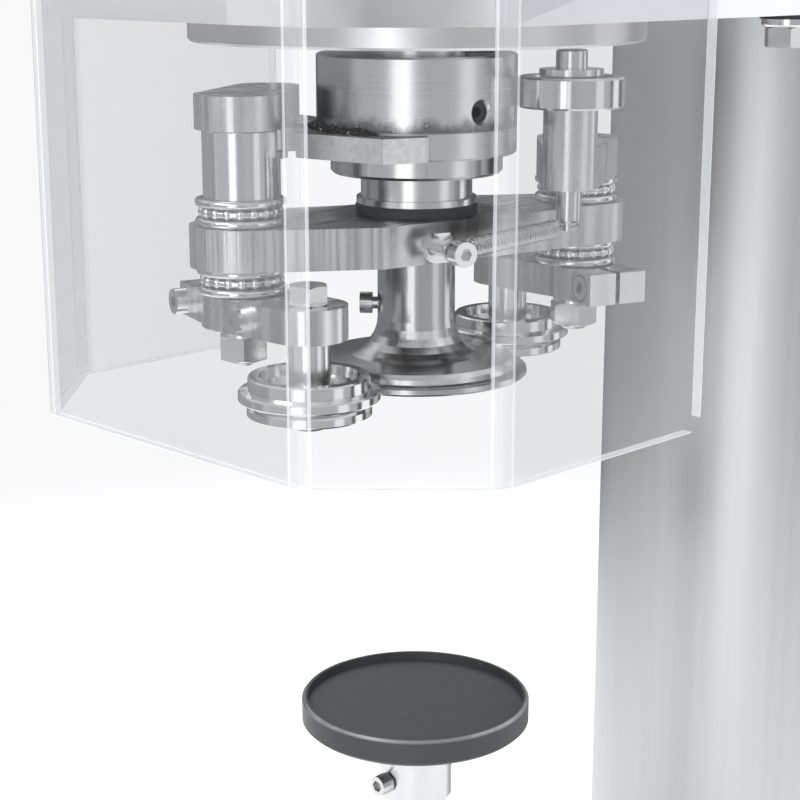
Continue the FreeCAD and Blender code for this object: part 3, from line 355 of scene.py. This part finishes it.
def black_oxide(name, level=0.035, rough=0.34):
    """Blackened steel with faint scuffs."""
    f = Finish(name, Metallic=0.35)
    scuff = f.noise(f.stretched((120, 120, 260)), 5.0, 0.65)
    cloud = f.noise(f.stretched((35, 35, 35)), 3.0)
    f.set("Base Color", f.mix(cloud, grey(level * 0.8), grey(level * 1.3)))
    f.set("Roughness", rough + cloud * 0.12 + scuff * 0.08)
    f.bump(scuff, 0.15, 0.00012)
    return f.material


# %% [markdown]
# ## The clear guard
# The guard is one sheet of acrylic with four bends. Seen square on it nearly vanishes. Seen at a slant it
# shows a milky veil, because more of the room is thrown back. Light that enters the faces travels inside
# and leaves at the cut edges and at the bends, so those look white.

# %% Acrylic
def acrylic(name, node):
    """Clear sheet: veil by slant, white edges and bends, faint dust and scratches."""
    low, high = (Vector(v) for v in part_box(node))
    f = Finish(name, Metallic=0.0)
    x, y, z = f.parts_of(f.place())
    bend = 0.0
    front, side = high.x - corner_leg, low.y + corner_leg
    for corner_x, corner_y in ((-front, low.y), (front, low.y), (-high.x, side), (high.x, side)):
        dx, dy = x - corner_x, y - corner_y
        away = f.distance(dx, dy)
        rims = away.between(3.9 * MM, 4.7 * MM, 0.4 * MM) * 0.9
        bend = rims + (1 - away.above(3.4 * MM, 0.8 * MM)) * 0.55 + bend
    edge = 1 - (z - low.z).above(0.2 * MM, 0.2 * MM)
    edge = edge + (y - high.y).above(-0.4 * MM, 0.2 * MM)
    slant = f.add("ShaderNodeLayerWeight", None, 0.5, out=1).above(0.1, 0.3)
    dust = f.noise(f.stretched((14, 14, 14)), 4.0, 0.6)
    veil = 0.02 + slant * (0.15 + dust * 0.03)
    bright = f.math("MINIMUM", bend * 0.55 + edge * 0.7, 0.8)
    f.set("Alpha", f.math("MAXIMUM", veil, bright))
    sheet = f.mix(dust, (0.33, 0.335, 0.36, 1), (0.40, 0.41, 0.43, 1))
    f.set("Base Color", f.mix(bright * 1.6, sheet, (0.93, 0.94, 0.95, 1)))
    f.set("Roughness", 0.08 + dust * 0.08)
    scratch = f.noise(f.stretched((900, 900, 40)), 2.0, 0.5)
    f.bump(scratch, 0.02, 0.0001)
    return f.material


# %% [markdown]
# ## Which finish goes where
# One list gives every solid piece its finish. Round pieces get turned steel about their own axis, and bought
# hardware gets plating.

# %% Finishes for the still parts, the lift and the controls
steel_axis = (seaming_axis.x, seaming_axis.y)
paint = powder_coat("white_powder_coat")
base_paint = powder_coat("base_powder_coat", 0.84)
rubber = moulding("black_rubber", (0.025, 0.025, 0.027, 1), 0.55, 700)
plastic = moulding("black_plastic", (0.03, 0.03, 0.032, 1), 0.36)
red = moulding("red_button", (0.55, 0.02, 0.018, 1), 0.25)
green = moulding("green_button", (0.02, 0.33, 0.08, 1), 0.25)
plating = plated_steel("plated_steel")
soft_plating = plated_steel("soft_plated_steel", 0.60, 0.24)
oxide = black_oxide("black_oxide")
centre_turned = turned_steel("turned_on_the_axis", steel_axis)
chuck_steel = turned_steel("turned_chuck", steel_axis, 0.5, 0.2, 1100, 0.12)
disc_turned = turned_steel("turned_disc", steel_axis, 0.68, 0.3, 620, 0.16)
column_finish = polished_tube("polished_column", (column_axis.x, column_axis.y))
guard_finish = acrylic("clear_acrylic", "guard")
cast = moulding("grey_casting", (0.30, 0.31, 0.32, 1), 0.5, 260, 0.3)
motor_coat = moulding("motor_grey", (0.36, 0.37, 0.38, 1), 0.42, 300, 0.2)
alloy = turned_steel("turned_alloy", steel_axis, 0.72, 0.28)

finishes = {
    "base_housing": base_paint, "rubber_feet": rubber,
    "column_tube": column_finish, "column_flange": column_finish,
    "head_housing": paint, "head_floor": paint, "mounting_disc": disc_turned, "guard": guard_finish,
    "guard_screws": plating, "drain_plug": plating, "drain_washer": rubber, "bearing_housing": cast,
    "fixed_shaft": centre_turned, "seaming_chuck": chuck_steel, "chuck_screw": plating,
    "lift_guide_bush": centre_turned,
    "lift_actuator": motor_coat, "drive_motor": motor_coat, "drive_belt": rubber, "button_collars": plastic,
    "lift_shaft": centre_turned, "tray_screw": soft_plating, "motor_pulley": alloy, "e_stop_button": red,
    "start_button": green, "power_rocker": plastic, "carrier_sleeve": centre_turned, "carrier_pulley": alloy,
    "arm_seal_ring": rubber, "arm_bearing_ring": centre_turned, "spring_anchor_screws": plating,
    "hub_set_screw": oxide,
}


# %% [markdown]
# ## Tray
# The tray is blackened steel. Cans slide on and off it all day, so its rim has worn to a paler grey, in
# short arcs.

# %% Worn tray
def worn_tray(name, centre, rim_height, rim_radius, plate_height):
    """Black plate rubbed pale near its top rim, on a bright steel hub."""
    f = Finish(name)
    x, y, z = f.parts_of(f.stretched((1, 1, 1), (centre[0], centre[1], 0)))
    radius = f.distance(x, y)
    patch = f.noise(f.stretched((26, 26, 60)), 4.0, 0.6)
    scuff = f.noise(f.stretched((160, 160, 400)), 3.0, 0.6)
    near_top = z.above(rim_height - 1.6 * MM, 1.2 * MM)
    near_edge = radius.above(rim_radius - 1.8 * MM, 1.0 * MM)
    wear = near_top * near_edge * (0.35 + patch.above(0.42, 0.2) * 0.65)
    rub = scuff.above(0.6, 0.12) * patch.above(0.5, 0.2) * 0.25
    bare = f.math("MAXIMUM", wear, rub)
    hub = 1 - z.above(plate_height - 1.2 * MM, 0.3 * MM)
    cloud = f.noise(f.stretched((60, 60, 25)), 3.0)
    shown = f.mix(bare, grey(0.048, -0.02), grey(0.42))
    f.set("Metallic", f.math("MAXIMUM", 0.3 + bare * 0.5, hub))
    f.set("Base Color", f.mix(hub, shown, f.mix(cloud, grey(0.55), grey(0.68))))
    f.set("Roughness", 0.36 + scuff * 0.14 - bare * 0.08 - hub * 0.18)
    f.bump(scuff, 0.12, 0.0001)
    return f.material


tray_low, tray_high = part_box("can_tray")
tray_radius = (tray_high[0] - tray_low[0]) / 2
tray_depth = 11.4 * MM         # from the rim down to the underside of the plate
tray_plate = tray_high[2] - tray_depth
finishes["can_tray"] = worn_tray("worn_black_tray", steel_axis, tray_high[2], tray_radius, tray_plate)

# %% [markdown]
# ## Cam hub
# The crescent cams are welded to the turned hub. Heat and grease have left the joint brown-black, and the
# dark fades out within a few millimetres, or higher up at one end of the plate.

# %% Finishes for the moving steel
def greasy_hub(name, centre):
    """Turned hub, dark round the weld and on top of the plate, fading up its side."""
    f = Finish(name, Metallic=1.0)
    x, y, z = f.parts_of(f.stretched((1, 1, 1), (centre[0], centre[1], 0), plate_heading - plate_half))
    radius = f.distance(x, y)
    angle = f.math("ARCTAN2", y, x)
    ring = f.noise(f.add("ShaderNodeCombineXYZ", None, (radius + z) * 800, 0.0, 0.0), 2.0)
    cloud = f.noise(f.stretched((55, 55, 40)), 5.0, 0.65)
    speck = f.noise(f.stretched((420, 420, 420)), 3.0, 0.6)
    rise = (z - plate_top) / (20 * MM)
    corner = 1 - (angle + rise * 0.55 + (cloud - 0.5) * 0.5).above(0.12, 0.4)
    halo = (1 - (rise + (cloud - 0.5) * 0.9).above(0.05, 0.3)) * (z - plate_top).above(0, 1 * MM)
    deck = (z - plate_top).between(-0.4 * MM, 0.6 * MM, 0.2 * MM) * radius.above(40 * MM, 0.3 * MM)
    face = (radius.above(41.5 * MM, 0.3 * MM)) * (1 - deck)
    above_plate = (z - plate_top).above(0, 1 * MM)
    stain = f.math("MAXIMUM", corner * above_plate * 0.8, halo * 0.75)
    dark = f.math("MAXIMUM", stain, deck * (0.75 + speck.above(0.5, 0.2) * 0.25))
    smooth_side = f.mix(ring, grey(0.58), grey(0.68, 0.004))
    rough_face = f.mix(speck, grey(0.5), grey(0.9))
    steel = f.mix(face, smooth_side, rough_face)
    grime = f.mix(speck.above(0.6, 0.08), (0.03, 0.027, 0.024, 1), grey(0.4))
    f.set("Base Color", f.mix(dark, steel, grime))
    f.set("Roughness", 0.22 + ring * 0.08 + dark * 0.2 + face * 0.12)
    f.bump(f.mix(face, ring, speck), 0.25, 0.0001)
    return f.material


finishes["cam_hub"] = greasy_hub("greasy_turned_hub", steel_axis)
finishes["cross_arm"] = milled_steel("milled_arm", arm_heading, grease=0.85)
for s in stations:
    finishes[s + "_top_lever"] = milled_steel(s + "_milled_lever", arm_heading + 0.6, 0.62, 0.2, 380)
    finishes[s + "_pivot_shaft"] = turned_steel(s + "_turned_pivot", pivots[s], 0.6)
    finishes[s + "_thrust_bearings"] = turned_steel(
        s + "_ground_bearing", pivots[s], 0.66, 0.12, 1500, 0.05)
    finishes[s + "_cam_follower"] = turned_steel(s + "_ground_follower", followers[s], 0.64, 0.11, 1500, 0.05)
    finishes[s + "_follower_pin"] = turned_steel(s + "_turned_pin", followers[s], 0.62, 0.18)
    finishes[s + "_roller_arm"] = milled_steel(s + "_milled_clamp", arm_heading + 0.3, 0.66, 0.18, 240)
    finishes[s + "_clamp_screws"] = plating
    finishes[s + "_pivot_nut"] = plating
    finishes[s + "_roller_shaft"] = plating
    finishes[s + "_roller_screw"] = oxide
    finishes[s + "_seaming_roller"] = turned_steel(s + "_ground_roller", rollers[s], 0.66, 0.12, 1300, 0.07)
    finishes[s + "_return_spring"] = soft_plating
finishes["front_spacer_sleeve"] = turned_steel("turned_spacer", pivots["front"], 0.66, 0.15)

for name, obj in nodes.items():
    obj.data.materials.clear()
    obj.data.materials.append(finishes[name])
print("finishes:", len(set(finishes.values())), "for", len(nodes), "pieces")

# %% [markdown]
# ## Making and placing extra pieces
# Small parts that a solid model leaves plain are built here as meshes, in the machine's own frame. A round
# part is an outline turned about an axis. A wire is a small circle carried along a path. What repeats, such
# as the balls of a bearing or the ridges on a screw head, is placed by a Geometry Nodes tree and then made
# one plain mesh.

# %% Mesh helpers
def finish_mesh(name, bm, material, body, smooth=40):
    """Closes off a bmesh as a piece that rides on a body."""
    bmesh.ops.recalc_face_normals(bm, faces=bm.faces)
    mesh = bpy.data.meshes.new(name)
    bm.to_mesh(mesh)
    bm.free()
    return place_mesh(name, mesh, material, body, smooth)


def place_mesh(name, mesh, material, body, smooth=40):
    """Puts a mesh in the scene with its finish, and lets it ride on its body."""
    mesh.materials.clear()
    mesh.materials.append(material)
    mesh.shade_smooth()
    mesh.set_sharp_from_angle(angle=math.radians(smooth))
    obj = bpy.data.objects.new(name, mesh)
    bpy.context.collection.objects.link(obj)
    if body is not None:
        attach(obj, body)
    return obj


def ring_strip(bm, rings, closed):
    """Joins rings of vertices with quads; closed joins the last ring to the first."""
    count = len(rings[0])
    pairs = list(zip(rings, rings[1:])) + ([(rings[-1], rings[0])] if closed else [])
    for a, b in pairs:
        for i in range(count):
            j = (i + 1) % count
            bm.faces.new((a[i], a[j], b[j], b[i]))


def turned_ring(bm, outline, centre, segments=96):
    """A closed (radius, height) outline turned about an upright axis."""
    rings = []
    for k in range(segments):
        a = 2 * math.pi * k / segments
        rings.append([bm.verts.new((centre.x + r * math.cos(a), centre.y + r * math.sin(a), z))
                      for r, z in outline])
    ring_strip(bm, rings, True)


def wire(bm, path, radius, sides=10):
    """A round wire along a path; radius may be a number or a function of the share of the path."""
    size = radius if callable(radius) else (lambda share: radius)
    rings = []
    side = Vector((0, 0, 1))
    for i, p in enumerate(path):
        ahead = (path[min(i + 1, len(path) - 1)] - path[max(i - 1, 0)]).normalized()
        side = (side - ahead * side.dot(ahead)).normalized()
        other = ahead.cross(side)
        r = size(i / (len(path) - 1))
        rings.append([bm.verts.new(p + (side * math.cos(t) + other * math.sin(t)) * r)
                      for t in (2 * math.pi * k / sides for k in range(sides))])
    ring_strip(bm, rings, False)
    bm.faces.new(rings[0][::-1])
    bm.faces.new(rings[-1])


def rounded_outline(inner, outer, low, high, edge, steps=5):
    """Outline of a washer whose outer edges are rounded."""
    points = [(inner, low)]
    for middle_z, start in ((low + edge, -90), (high - edge, 0)):
        for k in range(steps + 1):
            t = math.radians(start + 90 * k / steps)
            points.append((outer - edge + edge * math.cos(t), middle_z + edge * math.sin(t)))
    return points + [(inner, high)]


# %% [markdown]
# ## One tree for everything that stands in a ring
# The tree puts a copy of a shape on each point of a circle and turns it to face outwards. Balls, ridges and
# screw knurls all come from it. Its inputs are the count, the circle's radius, and the size of one copy.

# %% The ring tree
class RingTree:
    """Geometry Nodes tree: copies of a ball or a ridge on a circle."""

    def __init__(self, name, kind, material):
        self.tree = bpy.data.node_groups.new(name, "GeometryNodeTree")
        face = self.tree.interface
        face.new_socket("Geometry", in_out="OUTPUT", socket_type="NodeSocketGeometry")
        self.inputs = {}
        for label, sort, value in (("Count", "NodeSocketInt", 20), ("Radius", "NodeSocketFloat", 0.01),
                                   ("Size", "NodeSocketVector", (0.001, 0.001, 0.001))):
            socket = face.new_socket(label, in_out="INPUT", socket_type=sort)
            socket.default_value = value
            self.inputs[label] = socket.identifier
        start = self.tree.nodes.new("NodeGroupInput")
        circle = self.add("GeometryNodeMeshCircle", {}, Vertices=start.outputs["Count"],
                          Radius=start.outputs["Radius"])
        if kind == "ball":
            shape = self.add("GeometryNodeMeshUVSphere", {}, Segments=20, Rings=12, Radius=1.0)
        else:
            shape = self.add("GeometryNodeMeshCylinder", {}, Vertices=6, Radius=1.0, Depth=1.0)
        index = self.add("GeometryNodeInputIndex", {})
        step = self.add("ShaderNodeMath", {"operation": "DIVIDE"})
        step.inputs[0].default_value = 2 * math.pi
        self.tree.links.new(start.outputs["Count"], step.inputs[1])
        angle = self.add("ShaderNodeMath", {"operation": "MULTIPLY"})
        self.tree.links.new(index.outputs[0], angle.inputs[0])
        self.tree.links.new(step.outputs[0], angle.inputs[1])
        turn = self.add("ShaderNodeCombineXYZ", {}, Z=angle.outputs[0])
        copies = self.add("GeometryNodeInstanceOnPoints", {}, Points=circle.outputs[0],
                          Instance=shape.outputs["Mesh"], Rotation=turn.outputs[0],
                          Scale=start.outputs["Size"])
        real = self.add("GeometryNodeRealizeInstances", {}, Geometry=copies.outputs[0])
        painted = self.add("GeometryNodeSetMaterial", {}, Geometry=real.outputs[0])
        painted.inputs["Material"].default_value = material
        end = self.tree.nodes.new("NodeGroupOutput")
        self.tree.links.new(painted.outputs[0], end.inputs[0])

    def add(self, kind, settings, **sockets):
        """Adds a node with its settings, and links or sets its sockets by name."""
        node = self.tree.nodes.new(kind)
        for key, value in settings.items():
            setattr(node, key, value)
        for key, value in sockets.items():
            if hasattr(value, "is_output"):
                self.tree.links.new(value, node.inputs[key])
            else:
                node.inputs[key].default_value = value
        return node

    def mesh(self, name, count, radius, size, place):
        """One plain mesh of the ring, moved to its place."""
        holder = bpy.data.objects.new(name + "_holder", bpy.data.meshes.new(name + "_seed"))
        bpy.context.collection.objects.link(holder)
        modifier = holder.modifiers.new("ring", "NODES")
        modifier.node_group = self.tree
        modifier[self.inputs["Count"]] = count
        modifier[self.inputs["Radius"]] = radius
        modifier[self.inputs["Size"]] = size
        ready = holder.evaluated_get(bpy.context.evaluated_depsgraph_get())
        mesh = bpy.data.meshes.new_from_object(ready)
        mesh.transform(place)
        bpy.data.objects.remove(holder)
        return mesh


def joined(name, meshes):
    """Several meshes as one."""
    bm = bmesh.new()
    for mesh in meshes:
        bm.from_mesh(mesh)
        bpy.data.meshes.remove(mesh)
    whole = bpy.data.meshes.new(name)
    bm.to_mesh(whole)
    bm.free()
    return whole


ball_steel = plated_steel("ball_steel", 0.72, 0.07)
ball_ring = RingTree("ring_of_balls", "ball", ball_steel)
ridge_ring = RingTree("ring_of_ridges", "ridge", plating)

# %% [markdown]
# ## Thrust bearings
# Each pivot has a thrust bearing above and below the arm: two hard washers with a row of balls in a thin
# cage. The balls show in the gap as a row of bright beads, so this piece stands in for the plain solid
# ring.

# %% Washers, cages and balls
ball_radius = 2.15 * MM
ball_count = 18
ball_gap = 4.4 * MM            # between the two washers of one bearing
race_width = 7.0 * MM          # from a washer's bore to its rim
row_inset = 3.1 * MM           # from the rim to the circle of the balls
cage_inset = 1.0 * MM          # from a washer's bore to the cage's bore
cage_overlap = 1.5 * MM        # how far the cage runs past the circle of the balls
cage_half = 1.3 * MM           # half of the cage's height
washer_edge = 1.3 * MM
cage_edge = 0.9 * MM
for s in stations:
    low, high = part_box(s + "_thrust_bearings")
    outer = (high[0] - low[0]) / 2
    inner = outer - race_width
    row = outer - row_inset
    bm = bmesh.new()
    cages = bmesh.new()
    balls = []
    for z0, z1 in ((arm_high, high[2]), (low[2], arm_low)):
        washer = (z1 - z0 - ball_gap) / 2
        turned_ring(bm, rounded_outline(inner, outer, z0, z0 + washer, washer_edge), pivots[s])
        turned_ring(bm, rounded_outline(inner, outer, z1 - washer, z1, washer_edge), pivots[s])
        mid = (z0 + z1) / 2
        cage = rounded_outline(inner + cage_inset, row + cage_overlap, mid - cage_half, mid + cage_half,
                               cage_edge)
        turned_ring(cages, cage, pivots[s])
        at = Matrix.Translation((pivots[s].x, pivots[s].y, mid))
        balls.append(ball_ring.mesh(s + "_row", ball_count, row, (ball_radius,) * 3, at))
    ground = finishes[s + "_thrust_bearings"]
    washers = finish_mesh(s + "_bearing_washers", bm, ground, "carrier")
    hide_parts(s + "_thrust_bearings")
    finish_mesh(s + "_bearing_cages", cages, ground, "carrier")
    place_mesh(s + "_bearing_balls", joined(s + "_balls", balls), ball_steel, "carrier", 60)
print("bearings: 4 rows of", ball_count, "balls")

# %% [markdown]
# ## Return springs
# A close-wound spring pulls each lever open. One eye goes round a long screw on the arm and the other round
# the foot of the follower pin. The wire is one path: eye, straight lead, coil, straight lead, eye. The
# spring stretches between the carrier and the lever.

# %% Wound wire
spring_wire = Finish("drawn_spring_wire", Metallic=1.0)
draw_lines = spring_wire.noise(spring_wire.stretched((300, 300, 300)), 3.0)
spring_wire.set("Base Color", spring_wire.mix(draw_lines, grey(0.34), grey(0.52)))
spring_wire.set("Roughness", 0.2 + draw_lines * 0.15)
spring_wire.bump(draw_lines, 0.08, 0.00006)

wire_radius = 0.62 * MM
coil_pitch = 1.42 * MM
screw_radius = 3.0 * MM        # of the screw that the near eye goes round
waist_radius = 3.5 * MM        # of the pin's foot that the far eye goes round
spring_radius = 3.9 * MM
spring_lead = 8.5 * MM         # from an eye's middle to the first turn
eye_sweep = 290                # degrees of wire in an eye
foot_rise = 1.5 * MM           # the far eye's height above the pin's foot
screw_offset = 3.7 * MM        # from the solid spring's end to the screw's middle


def eye_path(centre, ahead, axis, radius, sweep, count=20):
    """Arc round a pin, ending on the side that faces ahead."""
    start = (-ahead + axis * ahead.dot(axis)).normalized()
    other = axis.cross(start)
    path = []
    for k in range(count + 1):
        t = math.radians(180 - sweep + sweep * k / count)
        path.append(centre + (start * math.cos(t) + other * math.sin(t)) * radius)
    return path


def coil_path(start, along, length, radius):
    """Close-wound helix along a line."""
    side = Vector((0, 0, 1))
    side = (side - along * side.dot(along)).normalized()
    other = along.cross(side)
    turns = length / coil_pitch
    steps = int(turns * 16)
    path = []
    for k in range(steps + 1):
        t = 2 * math.pi * turns * k / steps
        offset = (side * math.cos(t) + other * math.sin(t)) * radius
        path.append(start + along * (length * k / steps) + offset)
    return path


def spring_ends(s):
    """Middle of the eye on the arm's screw, middle of the eye on the pin's foot, and the screw's axis."""
    points = [Vector(v.co) for v in nodes[s + "_return_spring"].data.vertices]
    centre = sum(points, Vector()) / len(points)
    foot = Vector((followers[s].x, followers[s].y, low_z(s + "_follower_pin") + foot_rise))
    across = Vector((-arm_direction.y, arm_direction.x, 0))
    lean = foot - centre
    lean.z = 0
    reach = max((foot - p).dot(lean.normalized()) for p in points) + screw_offset
    anchor = foot - lean.normalized() * reach
    anchor.z = (arm_low + arm_high) / 2
    return anchor, foot, across


for s in stations:
    anchor, foot, across = spring_ends(s)
    along = (foot - anchor).normalized()
    span = (foot - anchor).length
    near = eye_path(anchor, along, across, screw_radius + wire_radius, eye_sweep)
    far = eye_path(foot, -along, Vector((0, 0, 1)), waist_radius + wire_radius, eye_sweep)[::-1]
    coil_length = span - 2 * spring_lead
    coil = coil_path(anchor + along * spring_lead, along, coil_length, spring_radius - wire_radius)
    bm = bmesh.new()
    wire(bm, near + coil + far, wire_radius, 8)
    spring = finish_mesh(s + "_wound_spring", bm, spring_wire.material, None, 60)
    anchor + along * spring_lead
    foot - along * spring_lead
    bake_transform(spring)
    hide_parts(s + "_return_spring")
    print(s, "spring", round(span / MM, 1), "mm between eyes,", round(coil_length / coil_pitch), "turns")

# %% [markdown]
# ## Screw heads
# Socket screws have fine straight knurling round their heads. Each head is found on its own solid: the
# longest way across it gives its direction, and the thicker end is the head.

# %% Knurled heads
ridge_count = 36
ridge_radius = 0.28 * MM
ridge_share = 0.72             # of the head's length that is knurled
head_share = 1.15              # a head's length over its radius


def loose_parts(mesh):
    """Vertex groups of a mesh that aren't joined to each other."""
    bm = bmesh.new()
    bm.from_mesh(mesh)
    bmesh.ops.remove_doubles(bm, verts=bm.verts, dist=1e-6)
    left = set(bm.verts)
    parts = []
    while left:
        seed = left.pop()
        group, queue = [seed], [seed]
        while queue:
            for edge in queue.pop().link_edges:
                for v in edge.verts:
                    if v in left:
                        left.remove(v)
                        group.append(v)
                        queue.append(v)
        parts.append([v.co.copy() for v in group])
    bm.free()
    return parts


def screw_head(points):
    """(middle of the head, way it faces, its radius, its length) of one cap screw."""
    low = max(points, key=lambda p: (p - points[0]).length)
    high = max(points, key=lambda p: (p - low).length)
    rough_axis = (high - low).normalized()
    best = None
    for step in range(180):
        t = math.radians(step)
        way = Vector((math.cos(t), math.sin(t), 0))
        spread = max(p.dot(way) for p in points) - min(p.dot(way) for p in points)
        score = (spread, abs(way.dot(rough_axis)))
        if best is None or score > best[0]:
            best = (score, way)
    way = best[1]
    ends = sorted(p.dot(way) for p in points)
    centre_z = (max(p.z for p in points) + min(p.z for p in points)) / 2
    side = Vector((-way.y, way.x, 0))
    middle_side = (max(p.dot(side) for p in points) + min(p.dot(side) for p in points)) / 2
    axis_point = side * middle_side + Vector((0, 0, centre_z))

    def radius_near(t):
        """Radius of the screw at one place along its axis."""
        close = [p for p in points if abs(p.dot(way) - t) < 0.3 * MM]
        return max((p - axis_point - way * p.dot(way)).length for p in close)

    if radius_near(ends[0]) > radius_near(ends[-1]):
        way = -way
        ends = sorted(p.dot(way) for p in points)
    radius = radius_near(ends[-1])
    length = radius * head_share
    return axis_point + way * (ends[-1] - length / 2), way, radius, length


knurled = {"front_clamp_screws": "front_lever", "rear_clamp_screws": "rear_lever",
           "spring_anchor_screws": "carrier", "chuck_screw": "machine", "tray_screw": "lift"}
for node, body in knurled.items():
    rings = []
    for part in loose_parts(nodes[node].data):
        centre, way, radius, length = screw_head(part)
        at = Matrix.Translation(centre) @ way.to_track_quat("Z", "Y").to_matrix().to_4x4()
        size = (ridge_radius, ridge_radius, length * ridge_share)
        rings.append(ridge_ring.mesh(node + "_ring", ridge_count, radius, size, at))
    place_mesh(node + "_knurls", joined(node + "_knurl", rings), plating, body, 25)
    print(node, "heads:", len(rings))

# %% [markdown]
# ## Weld on the cam
# A bead runs along the joint between the lower crescent plate and the hub. A weld bead is a row of
# overlapping drops, so its thickness rises and falls in small steps, and grease has darkened it.

# %% Weld bead
burnt = Finish("burnt_weld", Metallic=0.75)
scale_noise = burnt.noise(burnt.stretched((500, 500, 500)), 4.0, 0.65)
glint = scale_noise.above(0.58, 0.08)
burnt.set("Base Color", burnt.mix(glint, (0.035, 0.03, 0.027, 1), (0.5, 0.48, 0.46, 1)))
burnt.set("Roughness", 0.5 - glint * 0.25)
burnt.bump(scale_noise, 0.5, 0.0004)


def weld_path(radius, height, start, end, count, wander):
    """Arc round the hub that wanders a little."""
    path = []
    for k in range(count + 1):
        a = start + (end - start) * k / count
        sway = noise.noise(Vector((a * 14, radius * 100, 3.0))) * wander
        r = radius + sway
        rise = noise.noise(Vector((a * 20, 7.0, height * 100))) * wander * 0.5
        x, y = seaming_axis.x + r * math.cos(a), seaming_axis.y + r * math.sin(a)
        path.append(Vector((x, y, height + rise)))
    return path


bead_radius = 41.2 * MM        # of the bead's arc round the hub
bead_lift = 0.3 * MM           # above the plate
bead_wander = 0.9 * MM
drop_count = 17


def bead_size(share):
    """Thickness of the bead, in overlapping drops, with thin ends."""
    drops = abs(math.sin(share * math.pi * drop_count)) ** 0.6
    ends = min(1.0, share * 10, (1 - share) * 10)
    return (1.0 + 1.1 * drops) * MM * max(0.25, ends)


start, end = plate_heading - plate_half + 0.05, plate_heading + plate_half - 0.12
bead_path = weld_path(bead_radius, plate_top + bead_lift, start, end, 240, bead_wander)
bm = bmesh.new()
wire(bm, bead_path, bead_size, 10)
finish_mesh("cam_weld_bead", bm, burnt.material, "cam", 50)
print("weld spans", round(math.degrees(2 * plate_half)), "degrees")

# %% [markdown]
# ## Room, lights and camera
# The room is a pale floor and a white sky. Two soft boxes light it: a small one to the front left, and a
# large one high up behind the head. The floor fades out at its rim, so that it meets the sky without a
# line.

# %% Stage
def soft_box(name, place, aim, size, power):
    """Large rectangular lamp."""
    lamp = bpy.data.lights.new(name, "AREA")
    lamp.shape = "RECTANGLE"
    lamp.size, lamp.size_y = size
    lamp.energy = power
    box = bpy.data.objects.new(name, lamp)
    bpy.context.collection.objects.link(box)
    box.location = place
    box.rotation_euler = (Vector(aim) - Vector(place)).to_track_quat("-Z", "Y").to_euler()


view_heading = math.radians(45)
forward = Vector((-math.sin(view_heading), math.cos(view_heading), 0))
right = Vector((math.cos(view_heading), math.sin(view_heading), 0))
focus = Vector((seaming_axis.x, seaming_axis.y, (arm_low + arm_high) / 2))


def around(side, ahead, height):
    """Place given from the seaming axis: to the viewer's right, away from them, and above the floor."""
    p = focus + right * side + forward * ahead
    return Vector((p.x, p.y, height))


def floor_disc(radius):
    """Round pale floor whose rim fades into the white room."""
    bm = bmesh.new()
    bmesh.ops.create_circle(bm, cap_ends=True, radius=radius, segments=128)
    mesh = bpy.data.meshes.new("floor")
    bm.to_mesh(mesh)
    bm.free()
    floor = bpy.data.objects.new("floor", mesh)
    bpy.context.collection.objects.link(floor)
    f = Finish("floor_finish", Roughness=0.7)
    x, y, z = f.parts_of(f.place())
    far = f.distance(x, y)
    f.set("Alpha", 1 - far.above(radius * 0.5, radius * 0.45))
    f.set("Base Color", (0.9, 0.9, 0.91, 1))
    mesh.materials.append(f.material)


floor_disc(1.7)
soft_box("key_box", around(-1.2, -1.0, 1.7), focus, (1.0, 1.0), 16)
soft_box("top_box", around(0.3, 0.6, 2.2), focus, (1.8, 1.8), 30)

# %% [markdown]
# ## What the steel sees
# Every bright part is a mirror of the room, so the room is drawn for the mirrors. Going round the machine
# there is a broad pale wall in front, a narrow bright strip a little left of its middle, a faint strip on
# its right, a third strip past its right end, and a dim wall round to the left. The ceiling is bright. The
# camera itself sees plain white.

# %% Room
world = bpy.data.worlds.new("white_room")
bpy.context.scene.world = world
world.use_nodes = True
for node in list(world.node_tree.nodes):
    world.node_tree.nodes.remove(node)
room = Nodes(world.node_tree)
dx, dy, dz = room.parts_of(room.add("ShaderNodeTexCoord", out=0))
sideways = dx * right.x + dy * right.y
facing = 0 - (dx * forward.x + dy * forward.y)
heading = room.math("ARCTAN2", sideways, facing) * (180 / math.pi)
wall = heading.between(-74, 84, 5) * 0.5 + heading.between(-150, -74, 8) * 0.22
strip = heading.between(-26, -8, 4) * 1.6 + heading.between(98, 114, 4) * 1.3
strip = strip + heading.between(52, 66, 5) * 0.6
ceiling = dz.above(0.25, 0.35) * 0.9
level = 0.1 + wall + strip * (1 - dz.above(0.3, 0.3)) + ceiling
lit = room.add("ShaderNodeBackground", None, (0.96, 0.98, 1.0, 1), level)
white = room.add("ShaderNodeBackground", None, (0.945, 0.945, 0.955, 1), 1.0)
seen = room.add("ShaderNodeLightPath", out=0)
shown = room.add("ShaderNodeMixShader", None, seen, lit, white)
end = room.tree.nodes.new("ShaderNodeOutputWorld")
room.feed(end.inputs[0], shown)

# %% Camera
focal_length = 80.1            # millimetres, on a sensor 36 mm wide
view_pitch = 14.1              # degrees below level
lens = bpy.data.cameras.new("camera")
lens.lens = focal_length
lens.sensor_width = 36
camera = bpy.data.objects.new("camera", lens)
bpy.context.collection.objects.link(camera)
camera.location = around(-0.00666, -0.7157, 0.673)
camera.rotation_euler = (math.radians(90 - view_pitch), 0, view_heading)
bpy.context.scene.camera = camera
bpy.context.scene.view_settings.view_transform = "Standard"
